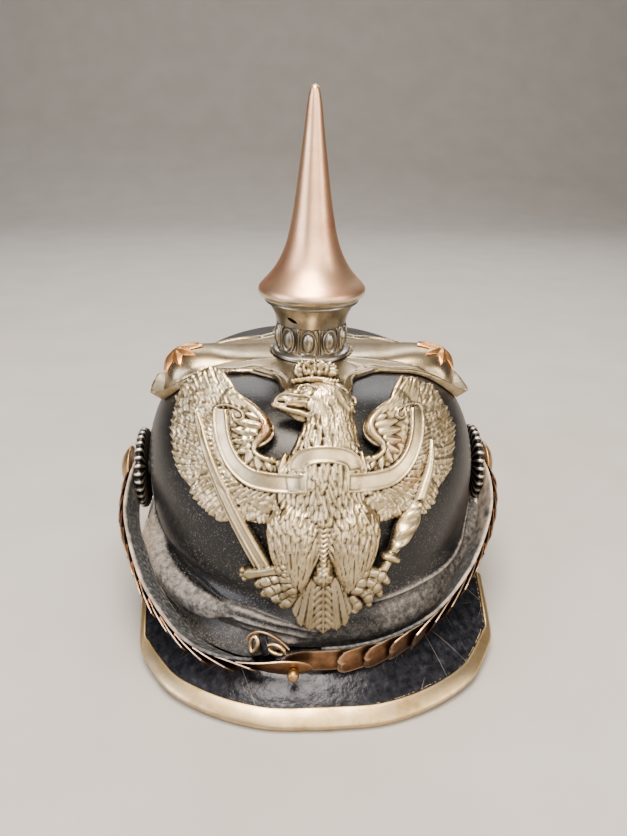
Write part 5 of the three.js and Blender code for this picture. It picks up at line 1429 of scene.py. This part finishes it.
def turned_tree():
    """Turned piece: circles along an axis, as wide as the line's radius, with flutes pressed in round the rim."""
    tree, given, out = node_group(
        "turned_piece",
        ("Segments", "Int"),
        ("Flutes", "Float"),
        ("Flute Depth", "Float"),
        ("Flute Inside", "Float"),
        ("Flute Rim", "Float"),
        ("Material", "Material"),
    )
    radius = node(tree, "GeometryNodeInputRadius").outputs[0]
    circle = node(tree, "GeometryNodeCurvePrimitiveCircle", {"Resolution": given["Segments"], "Radius": 1.0})
    turned = node(
        tree,
        "GeometryNodeCurveToMesh",
        {"Curve": given["Geometry"], "Profile Curve": circle.outputs["Curve"], "Scale": radius, "Fill Caps": True},
    )
    place = node(tree, "ShaderNodeSeparateXYZ", {"Vector": node(tree, "GeometryNodeInputPosition").outputs[0]}).outputs
    turn = node(tree, "ShaderNodeMath", {"Value": place["Y"], "Value_001": place["X"]}, operation="ARCTAN2").outputs[0]
    wave = node(tree, "ShaderNodeMath", {"Value": turn, "Value_001": given["Flutes"]}, operation="MULTIPLY").outputs[0]
    crest = node(tree, "ShaderNodeMath", {"Value": wave}, operation="COSINE").outputs[0]
    flat = node(tree, "ShaderNodeCombineXYZ", {"X": place["X"], "Y": place["Y"]}).outputs[0]
    away = node(tree, "ShaderNodeVectorMath", {"Vector": flat}, operation="LENGTH").outputs["Value"]
    spread = node(
        tree, "ShaderNodeMapRange", {"Value": away, "From Min": given["Flute Inside"], "From Max": given["Flute Rim"]}
    ).outputs[0]
    press = node(tree, "ShaderNodeMath", {"Value": crest, "Value_001": spread}, operation="MULTIPLY").outputs[0]
    depth = node(
        tree, "ShaderNodeMath", {"Value": press, "Value_001": given["Flute Depth"]}, operation="MULTIPLY"
    ).outputs[0]
    normal = node(tree, "GeometryNodeInputNormal").outputs[0]
    shift = node(tree, "ShaderNodeVectorMath", {"Vector": normal, "Scale": depth}, operation="SCALE").outputs[0]
    fluted = node(tree, "GeometryNodeSetPosition", {"Geometry": turned.outputs[0], "Offset": shift})
    worn = node(
        tree, "GeometryNodeStoreNamedAttribute", {"Geometry": fluted.outputs[0], "Name": "rubbed", "Value": press}
    )
    smooth = node(tree, "GeometryNodeSetShadeSmooth", {"Geometry": worn.outputs[0]})
    return close_tree(tree, given, out, smooth.outputs[0])


turning = turned_tree()


def turn_piece(name, profile, material, segments=96, flutes=0, depth=0.0, inside=0.0, rim=1.0):
    """Turned piece on Z from rows of radius and height."""
    data = bpy.data.curves.new(name, "CURVE")
    data.dimensions = "3D"
    line = data.splines.new("POLY")
    line.points.add(len(profile) - 1)
    for point, (radius, height) in zip(line.points, profile):
        point.co = (0, 0, height * MM, 1)
        point.radius = max(radius, 0.01) * MM
    made = bpy.data.objects.new(name, data)
    bpy.context.scene.collection.objects.link(made)
    return grow(
        made,
        turning,
        segments=segments,
        flutes=float(flutes),
        flute_depth=depth * MM,
        flute_inside=inside * MM,
        flute_rim=rim * MM,
        material=material,
    )


def rounded_profile(profile, steps):
    """Denser, smoother profile through the same rows."""
    return SmoothLine(profile).along(np.linspace(0, 1, steps) * SmoothLine(profile).length)


def build_spike():
    """Trumpet spike, frosted all over and rubbed bare on its lower rim."""
    made = turn_piece("trumpet_spike", rounded_profile(SPIKE_PROFILE, 110), frosted_nickel, 128)
    heights = np.array([corner.co.z for corner in made.data.vertices]) / MM
    bare = 1 - smooth_step(heights, *SPIKE_BARE_RIM)
    made.data.attributes["rubbed"].data.foreach_set("value", bare.astype(np.float32))
    sharpen(made, 35)
    finish_piece(made, "nickel_silver", "spike")


def oval_ring_tree():
    """Ring of egg ovals with darts between them, standing on the neck."""
    tree, given, out = node_group(
        "egg_and_dart_ring",
        ("Count", "Int"),
        ("Radius", "Float"),
        ("Height", "Float"),
        ("Turn", "Float"),
        ("Egg", "Object"),
        ("Dart", "Object"),
        ("Material", "Material"),
    )
    parts = []
    for shape, lag in (("Egg", 0.0), ("Dart", 0.5)):
        ring = node(tree, "GeometryNodeMeshCircle", {"Vertices": given["Count"], "Radius": given["Radius"]})
        step = node(
            tree, "ShaderNodeMath", {"Value": 2 * math.pi * lag, "Value_001": given["Count"]}, operation="DIVIDE"
        )
        start = node(tree, "ShaderNodeMath", {"Value": step.outputs[0], "Value_001": given["Turn"]}, operation="ADD")
        turn = node(tree, "ShaderNodeCombineXYZ", {"Z": start.outputs[0]})
        lift = node(tree, "ShaderNodeCombineXYZ", {"Z": given["Height"]})
        placed = node(
            tree,
            "GeometryNodeTransform",
            {"Geometry": ring.outputs[0], "Translation": lift.outputs[0], "Rotation": turn.outputs[0]},
        )
        spot = node(tree, "GeometryNodeInputPosition").outputs[0]
        flat = node(tree, "ShaderNodeVectorMath", {"Vector": spot, "Vector_001": (1, 1, 0)}, operation="MULTIPLY")
        facing = node(
            tree,
            "FunctionNodeAxesToRotation",
            {"Primary Axis": flat.outputs[0], "Secondary Axis": (0, 0, 1)},
            primary_axis="X",
            secondary_axis="Z",
        )
        info = node(tree, "GeometryNodeObjectInfo", {"Object": given[shape]})
        parts.append(
            node(
                tree,
                "GeometryNodeInstanceOnPoints",
                {"Points": placed.outputs[0], "Instance": info.outputs["Geometry"], "Rotation": facing.outputs[0]},
            ).outputs[0]
        )
    both = node(tree, "GeometryNodeJoinGeometry")
    for part in [given["Geometry"]] + parts:
        tree.links.new(part, both.inputs[0])
    return close_tree(tree, given, out, both.outputs[0])


def egg_mesh():
    """One egg with the raised ring that frames it, facing +X."""
    rows = [(1.0, -0.8), (1.0, 0.7), (0.95, 1.2), (0.86, 1.25), (0.79, 0.7), (0.74, 0.4)]
    rows += [(0.7, 0.8), (0.6, 1.6), (0.42, 2.1), (0.22, 2.35), (0.03, 2.4)]
    turns = np.linspace(0, 2 * np.pi, 28, endpoint=False)
    wide, tall = EGG_HALF
    return loft(
        [np.column_stack([np.full(28, out), wide * s * np.cos(turns), tall * s * np.sin(turns)]) for s, out in rows]
    )


def dart_mesh():
    """Slim fluted bar with a spread head and foot, facing +X."""
    rows = [(-6.6, 2.3, 0.6), (-5.6, 1.3, 1.0), (-3, 0.85, 1.2), (3, 0.85, 1.2), (5.4, 1.2, 1.2), (6.7, 2.4, 0.9)]
    section = [(-1, 0.85), (-0.72, 1.0), (-0.44, 0.35), (-0.2, 1.0), (0.2, 1.0), (0.44, 0.35), (0.72, 1.0), (1, 0.85)]
    rings = []
    for height, half, out in rows:
        across = [(-0.8, -half)] + [(out * rise, half * share) for share, rise in section] + [(-0.8, half)]
        rings.append([(x, y, height) for x, y in across])
    return loft(rings)


def build_neck():
    """Flared neck with the vent cut through it and the ring of ovals round it."""
    made = turn_piece("spike_neck_pressing", NECK_PROFILE, dull_nickel, 88)
    cutter = turn_piece("vent_cutter", [(VENT_RADIUS, -7), (VENT_RADIUS, 7)], dull_nickel, 20)
    cutter.data.transform(Matrix.Rotation(VENT_SLANT, 4, "Z") @ Matrix.Diagonal((*VENT_OVAL, 1, 1)))
    cutter.data.transform(Matrix.Rotation(math.pi / 2, 4, "Y"))
    cutter.data.transform(Matrix.Translation((VENT_REACH * MM, 0, VENT_HEIGHT * MM)))
    cutter.data.transform(Matrix.Rotation(math.radians(VENT_TURN), 4, "Z"))
    pierced = made.modifiers.new("vent", "BOOLEAN")
    pierced.object = cutter
    pierced.solver = "EXACT"
    made = plain_mesh(made)
    egg = mesh_object("egg_shape", *egg_mesh())
    dart = mesh_object("dart_shape", *dart_mesh())
    made = grow(
        made,
        oval_ring_tree(),
        count=OVAL_COUNT,
        radius=NECK_RADIUS * MM,
        height=OVAL_HEIGHT * MM,
        turn=math.radians(OVAL_TURN),
        egg=egg,
        dart=dart,
        material=dull_nickel,
    )
    for helper in (cutter, egg, dart):
        bpy.data.objects.remove(helper)
    sharpen(made, 35)
    finish_piece(made, "nickel_silver", "spike_neck")


build_spike()
build_neck()


def build_side_fittings(name, side):
    """Fluted cockade and the round head over it, on one axis at the side of the skull."""
    stand = Matrix.Translation((0, SIDE_AXIS[0] * MM, SIDE_AXIS[1] * MM)) @ Matrix.Rotation(side * math.pi / 2, 4, "Y")
    cockade = turn_piece("fluted_cockade_" + name, COCKADE_PROFILE, cockade_paint, 360, 30, 0.55, 8, 20)
    cockade.data.transform(stand)
    finish_piece(cockade, "cockade_enamel", "cockade_" + name)
    boss = turn_piece("strap_boss_" + name, BOSS_PROFILE, boss_metal, 64)
    boss.data.transform(stand)
    finish_piece(boss, "scale_copper", "boss_" + name)


for side_name, side_sign in SIDES.items():
    build_side_fittings(side_name, side_sign)

# Chin strap


class StrapTrack:
    """Middle line of the strap, with the ways along it, up across it and outward."""

    def __init__(self, name):
        self.side = SIDES[name]
        self.standoff = STRAP_STANDOFF[name]
        rows = STRAP_PATHS[name]
        self.line = SmoothLine([(self.side * a, -f, h) for a, f, h, _, _ in rows])
        self.forms = SmoothLine([(lean, width, 0) for _, _, _, lean, width in rows])
        self.length = self.line.length

    def ways(self, distance):
        """Ways along, up and outward at a distance, and the width there."""
        along = self.line.tangent(distance)
        form = self.forms.at(self.line.share_at(distance))
        level = unit(np.stack([along[..., 1], -along[..., 0], np.zeros(along.shape[:-1])], axis=-1)) * -self.side
        high = unit(np.cross(level, along)) * self.side
        high = np.where(high[..., 2:] < 0, -high, high)
        lean = np.radians(form[..., :1])
        upward = high * np.cos(lean) + level * np.sin(lean)
        outward = level * np.cos(lean) - high * np.sin(lean)
        return along, upward, outward, form[..., 1:2]

    def point(self, distance, up, out):
        """Point at a distance along, a share of the width up and millimetres outward."""
        distance, up, out = np.broadcast_arrays(*(np.asarray(v, float) for v in (distance, up, out)))
        _, upward, outward, width = self.ways(distance)
        first, last = (self.length - short for short in STANDOFF_FROM_END)
        stand = self.standoff * smooth_step(distance, first, last)
        return self.line.along(distance) + upward * up[..., None] * width + outward * (out + stand)[..., None]


def build_strap_hide(name, track):
    """Strap of dressed leather with softened edges."""
    stations = np.linspace(0, track.length - STRAP_SHORT_OF_END[name], 150)
    turns = np.linspace(0, 2 * np.pi, 28, endpoint=False)
    up = 0.5 * np.sign(np.cos(turns)) * np.abs(np.cos(turns)) ** 0.35
    out = STRAP_LEATHER / 2 * np.sign(np.sin(turns)) * np.abs(np.sin(turns)) ** 0.5
    rings = track.point(stations[:, None], up[None], out[None])
    points, faces = loft(rings)
    # Pale edges and top patch: wear and dust with painted highlight, strongest on the right strap.
    edges = 0.95 * np.exp(-(((np.abs(up) - 0.5) / 0.13) ** 2))
    dusty = STRAP_DUST_AND_SHEEN[name] * np.exp(-stations / 60)
    kept = 1 - 0.6 * smooth_step(stations, 85, 140)
    rubbed = np.maximum(edges[None] * kept[:, None], dusty[:, None]).ravel()
    made = mesh_object("strap_hide_" + name, points, faces, strap_hide, {"rubbed": rubbed})
    sharpen(made, 50)
    finish_piece(made, "strap_leather", "strap_leather_" + name)


def scale_mesh():
    """One scale of unit width: root at -X, free end at +X cut to two lobes, its rim turned up and pale: rubbed, with
    painted edge highlight.
    """
    shares = np.linspace(0, 1, 17)
    steps = np.linspace(-1, 1, 21)
    reach = 1 - 0.1 * np.exp(-((steps / 0.13) ** 2)) - 0.42 * np.clip(np.abs(steps) - 0.5, 0, 1) ** 1.5
    half = 0.43 + 0.09 * smooth_step(shares, 0, 0.5) - 0.03 * smooth_step(shares, 0.8, 1)
    x = SCALE_LENGTH * (shares[:, None] * reach[None] - 0.5)
    y = half[:, None] * steps[None]
    from_end, from_side = 1 - shares[:, None], 1 - np.abs(steps[None])
    # Rim mask: pale rubbed rim with painted edge highlight.
    edge = np.maximum(np.exp(-((from_end / SCALE_RIM) ** 2)), np.exp(-((from_side / SCALE_RIM) ** 2)))
    arch = 0.4 * (1 - steps[None] ** 2) + 0 * x
    top = np.stack([x, y, arch + SCALE_SHEET + 0.1 * edge], axis=-1)
    low = np.stack([x, y, arch], axis=-1)[:, ::-1]
    points, faces = loft(np.concatenate([top, low], axis=1))
    return points, faces, np.concatenate([edge, edge[:, ::-1]], axis=1).ravel()


def scale_tree():
    """Scales set on the strap: each follows the strap's way and outward side and takes its width."""
    tree, given, out = node_group("chin_scales", ("Scale Shape", "Object"), ("Material", "Material"))
    way, outward, width = (
        node(tree, "GeometryNodeInputNamedAttribute", {"Name": label}, data_type=kind).outputs[0]
        for label, kind in (("way", "FLOAT_VECTOR"), ("outward", "FLOAT_VECTOR"), ("width", "FLOAT"))
    )
    facing = node(
        tree,
        "FunctionNodeAxesToRotation",
        {"Primary Axis": way, "Secondary Axis": outward},
        primary_axis="X",
        secondary_axis="Z",
    )
    size = node(tree, "ShaderNodeCombineXYZ", {"X": 1.0, "Y": width, "Z": 1.0})
    info = node(tree, "GeometryNodeObjectInfo", {"Object": given["Scale Shape"]})
    seats = node(tree, "GeometryNodeMeshToPoints", {"Mesh": given["Geometry"]})
    laid = node(
        tree,
        "GeometryNodeInstanceOnPoints",
        {
            "Points": seats.outputs[0],
            "Instance": info.outputs["Geometry"],
            "Rotation": facing.outputs[0],
            "Scale": size.outputs[0],
        },
    )
    return close_tree(tree, given, out, laid.outputs[0])


scale_laying = scale_tree()


def build_scales(name, track):
    """Row of scales, each fanned a little off the strap."""
    starts = SCALE_START + SCALE_PITCH[name] * np.arange(SCALE_COUNT)
    face = STRAP_LEATHER / 2 + GAP
    root = track.point(starts, 0, face)
    ahead = unit(track.point(starts + 2, 0, face) - root)
    curled = track.point(starts + SCALE_LENGTH, 0, face) - root
    way = unit(0.6 * ahead + 0.4 * unit(curled) + SCALE_LIFT * track.ways(starts)[2])
    free = root + way * SCALE_LENGTH
    _, upward, outward, width = track.ways(starts + SCALE_LENGTH / 2)
    seats = mesh_object("chin_scales_" + name, (root + free) / 2, [])
    facing = unit(np.cross(way, upward))
    facing *= np.sign((facing * outward).sum(-1, keepdims=True))
    for label, values in (("way", way), ("outward", facing)):
        layer = seats.data.attributes.new(label, "FLOAT_VECTOR", "POINT")
        layer.data.foreach_set("vector", values.astype(np.float32).ravel())
    layer = seats.data.attributes.new("width", "FLOAT", "POINT")
    layer.data.foreach_set("value", width.astype(np.float32).ravel())
    points, faces, edge = scale_mesh()
    shape = mesh_object("scale_shape", points, faces, None, {"rubbed": edge})
    made = grow(seats, scale_laying, scale_shape=shape, material=scale_copper)
    bpy.data.objects.remove(shape)
    made.data.shade_smooth()
    sharpen(made, 40)
    finish_piece(made, "scale_copper", *(f"scale_{name}_{i + 1:02d}" for i in range(SCALE_COUNT)))


def build_end_plate(name, track):
    """Smooth tongue that ends the row of scales."""
    start = SCALE_START + SCALE_PITCH[name] * SCALE_COUNT
    length = min(END_PLATE_LENGTH, track.length - start)
    shares = np.linspace(0, 1, 60)
    half = 0.46 * np.sqrt(np.clip(1 - np.clip((shares - 0.45) / 0.55, 0, 1) ** 2.2, 0, 1)) + 0.012
    steps = np.linspace(-1, 1, 15)
    seat = STRAP_LEATHER / 2 + GAP + 0.05
    at = (start + shares * length)[:, None]
    dome = 0.35 * (1 - steps**2) - 0.05
    top = track.point(at, half[:, None] * steps[None], seat + 0.65 + dome[None])
    low = track.point(at, half[:, None] * steps[None, ::-1], np.full((1, 15), seat))
    points, faces = loft(np.concatenate([top, low], axis=1))
    # Pale rims: rubbed, with painted edge highlight.
    edge = np.exp(-(((1 - np.abs(steps)) / 0.08) ** 2))
    rubbed = np.tile(0.8 * np.concatenate([edge, edge[::-1]]), len(shares))
    made = mesh_object("end_tongue_" + name, points, faces, scale_copper, {"rubbed": rubbed})
    sharpen(made, 45)
    finish_piece(made, "scale_copper", "end_plate_" + name)


tracks = {name: StrapTrack(name) for name in SIDES}
for strap_name, strap_track in tracks.items():
    build_strap_hide(strap_name, strap_track)
    build_scales(strap_name, strap_track)
    build_end_plate(strap_name, strap_track)

STUD_PROFILE = [(1.7, 0), (1.7, 0.6)] + [
    (2.5 * math.sin(a), 2.5 - 2.5 * math.cos(a)) for a in np.linspace(0.95, math.pi - 0.02, 18)
]


def build_stud(track):
    """Ball stud that closes the strap."""
    at, low = track.length - STUD_FROM_END, -0.02
    foot = track.point(at, low, STRAP_LEATHER / 2 + 2 * GAP + 1)
    way = unit(track.point(at, low, STRAP_LEATHER / 2 + 2 * GAP + 6) - foot)
    across = unit(np.cross((0, 0, 1), way))
    upward = np.cross(way, across)
    made = turn_piece("ball_stud", STUD_PROFILE, boss_metal, 40)
    made.data.transform(
        Matrix([[across[i], upward[i], way[i], foot[i] * MM] for i in range(3)] + [[0, 0, 0, 1]])
    )
    finish_piece(made, "gilt_copper", "closing_stud")


build_stud(tracks["left"])

BUCKLE_PLACE = (-24, -113.4, 28.6)
BUCKLE_TURN, BUCKLE_TILT = -0.16, 0.35
BUCKLE_BAR = [(-9.4, 1.6), (-8.2, 3.8), (-5.2, 5.2), (-1.6, 5), (2.6, 3.4), (6.2, 1.2), (9.2, -1.6)]
BUCKLE_LOOPS = [(-6.2, -0.2, 1.7, 3.4, 0.12), (3.6, -1.8, 3.6, 2.1, -0.5)]
BUCKLE_TAB = [(-2.6, 4), (-2.2, 1), (-1.2, -2.6), (-0.6, -4.4)]


def rod(line, radius, sides=12):
    """Round wire along a line of points, closed at both ends."""
    line = np.asarray(line)
    way = unit(np.gradient(line, axis=0))
    aside = unit(np.cross(way, buckle_facing))
    rise = np.cross(aside, way)
    turns = np.linspace(0, 2 * np.pi, sides, endpoint=False)[None, :, None]
    return loft(line[:, None] + radius * (np.cos(turns) * aside[:, None] + np.sin(turns) * rise[:, None]))


buckle_side = np.array([math.cos(BUCKLE_TURN), math.sin(BUCKLE_TURN), 0])
buckle_up = np.array([-math.sin(BUCKLE_TURN), math.cos(BUCKLE_TURN), 0]) * math.sin(BUCKLE_TILT)
buckle_up = buckle_up + np.array([0, 0, math.cos(BUCKLE_TILT)])
buckle_facing = np.cross(buckle_side, buckle_up)


def on_buckle(across, up, out=0.0):
    """Point at millimetres across, up and out from the buckle's middle."""
    return np.array(BUCKLE_PLACE) + across * buckle_side + up * buckle_up + out * buckle_facing


def build_buckle():
    """Arched bar of copper wire with two pale loops hanging from it."""
    arch = SmoothLine([(a, u, 0) for a, u in BUCKLE_BAR]).at(np.linspace(0, 1, 50))
    points, faces = rod([on_buckle(a, u) for a, u, _ in arch], 0.7)
    metals = [0] * len(faces)
    points, faces = [points], list(faces)
    wires = [(rod([on_buckle(a, u, -0.4) for a, u in BUCKLE_TAB], 2.0), 2)]
    for across, up, wide, tall, lean in BUCKLE_LOOPS:
        turns = np.linspace(0, 2 * np.pi, 41)
        ring = [
            on_buckle(across + wide * c + lean * s * tall, up + tall * s, 0.6 + 0.8 * c)
            for c, s in ((math.cos(t), math.sin(t)) for t in turns)
        ]
        wires.append((rod(ring, 1.05), 1))
    for (wire, skin), metal in wires:
        start = sum(len(p) for p in points)
        points.append(wire)
        faces += [tuple(i + start for i in face) for face in skin]
        metals += [metal] * len(skin)
    points = np.vstack(points)
    made = mesh_object("wire_buckle", points, faces, scale_copper, {"rubbed": np.full(len(points), 0.3)})
    made.data.materials.append(edging_metal)
    made.data.materials.append(patent)
    made.data.polygons.foreach_set("material_index", metals)
    sharpen(made, 50)
    finish_piece(made, "scale_copper", "strap_buckle")


build_buckle()

# Stage: floor that rises behind as a plain sweep, soft lights and the camera

# Floor in metres: front edge, start of the bend, its radius, top of the wall, half width.
FLOOR_FRONT, FLOOR_BEND, FLOOR_CURVE, WALL_TOP, FLOOR_HALF = -3.0, 1.2, 0.8, 3.5, 4.0
floor_line = [(FLOOR_FRONT, 0.0), (FLOOR_BEND, 0.0)]
floor_line += [
    (FLOOR_BEND + FLOOR_CURVE * math.sin(a), FLOOR_CURVE - FLOOR_CURVE * math.cos(a))
    for a in np.linspace(0.1, math.pi / 2, 16)
]
floor_line += [(FLOOR_BEND + FLOOR_CURVE, WALL_TOP)]
floor_points = [(x * 1000, y * 1000, z * 1000) for y, z in floor_line for x in (-FLOOR_HALF, FLOOR_HALF)]
floor_paint, floor_tree, floor_shader, floor_coords = new_material("pale_matt_paint", Roughness=0.85)
floor_tone = node(
    floor_tree,
    "ShaderNodeTexNoise",
    {"Vector": floor_coords, "Scale": per_mm(60), "Detail": 3.0},
)
floor_colour = node(
    floor_tree, "ShaderNodeValToRGB", {"Fac": floor_tone.outputs["Fac"]}, stops=[(0.3, "b3b0ac"), (0.7, "b9b6b2")]
)
floor_tree.links.new(floor_colour.outputs[0], floor_shader.inputs["Base Color"])
floor = mesh_object("floor", floor_points, grid_faces(len(floor_line), 2), floor_paint)


def soft_light(name, place, aim, size, power, code):
    """Rectangular soft light aimed at a place."""
    data = bpy.data.lights.new(name, "AREA")
    data.shape = "RECTANGLE"
    data.size, data.size_y = size
    data.energy = power
    data.color = linear(code)[:3]
    made = bpy.data.objects.new(name, data)
    way = np.array(aim) - np.array(place)
    made.location = place
    made.rotation_euler = (
        math.acos(-way[2] / np.linalg.norm(way)),
        0,
        math.atan2(way[1], way[0]) - math.pi / 2,
    )
    bpy.context.scene.collection.objects.link(made)


# Soft lights in metres and watts: name, place, aim, size, power, colour.
SOFT_LIGHTS = [
    ("overhead_softbox", (-0.08, -0.3, 1.2), (0, -0.02, 0.1), (0.6, 0.8), 23, "fff3e4"),
    ("front_fill", (0.25, -1.3, 0.75), (0, 0, 0.12), (1.4, 1.0), 12, "fff6ec"),
    ("left_fill", (-1.2, -0.6, 0.6), (0, 0, 0.1), (0.9, 0.9), 9.5, "f8f8ff"),
    ("right_fill", (1.1, -0.7, 0.55), (0, 0, 0.12), (0.5, 0.9), 6, "fff4e6"),
    ("back_strip", (0.2, 1.0, 0.9), (0, 0, 0.12), (1.4, 0.4), 7, "ffffff"),
]
for light_row in SOFT_LIGHTS:
    soft_light(*light_row)

world = bpy.data.worlds.new("studio")
world.use_nodes = True
world.node_tree.nodes["Background"].inputs["Color"].default_value = linear("d9d9dc")
world.node_tree.nodes["Background"].inputs["Strength"].default_value = 0.22
bpy.context.scene.world = world

CAMERA_PLACE = (-0.02252, -0.34210, 0.24131)
CAMERA_TURN, CAMERA_DIP, CAMERA_ROLL = (math.radians(a) for a in (4.11, 24.52, 1.06))
CAMERA_LENS = 29.28
look = np.array(
    [
        math.sin(CAMERA_TURN) * math.cos(CAMERA_DIP),
        math.cos(CAMERA_TURN) * math.cos(CAMERA_DIP),
        -math.sin(CAMERA_DIP),
    ]
)
level = np.array([math.cos(CAMERA_TURN), -math.sin(CAMERA_TURN), 0])
upright = np.cross(level, look)
camera_right = level * math.cos(CAMERA_ROLL) + upright * math.sin(CAMERA_ROLL)
camera_up = upright * math.cos(CAMERA_ROLL) - level * math.sin(CAMERA_ROLL)
camera_data = bpy.data.cameras.new("photo_camera")
camera_data.lens = CAMERA_LENS
camera_data.sensor_width = 36
camera_data.clip_start = 0.01
camera = bpy.data.objects.new("photo_camera", camera_data)
camera.matrix_world = Matrix(
    [[camera_right[i], camera_up[i], -look[i], CAMERA_PLACE[i]] for i in range(3)] + [[0, 0, 0, 1]]
)
bpy.context.scene.collection.objects.link(camera)
bpy.context.scene.camera = camera
bpy.context.scene.view_settings.view_transform = "AgX"
bpy.context.scene.view_settings.look = "AgX - Medium High Contrast"
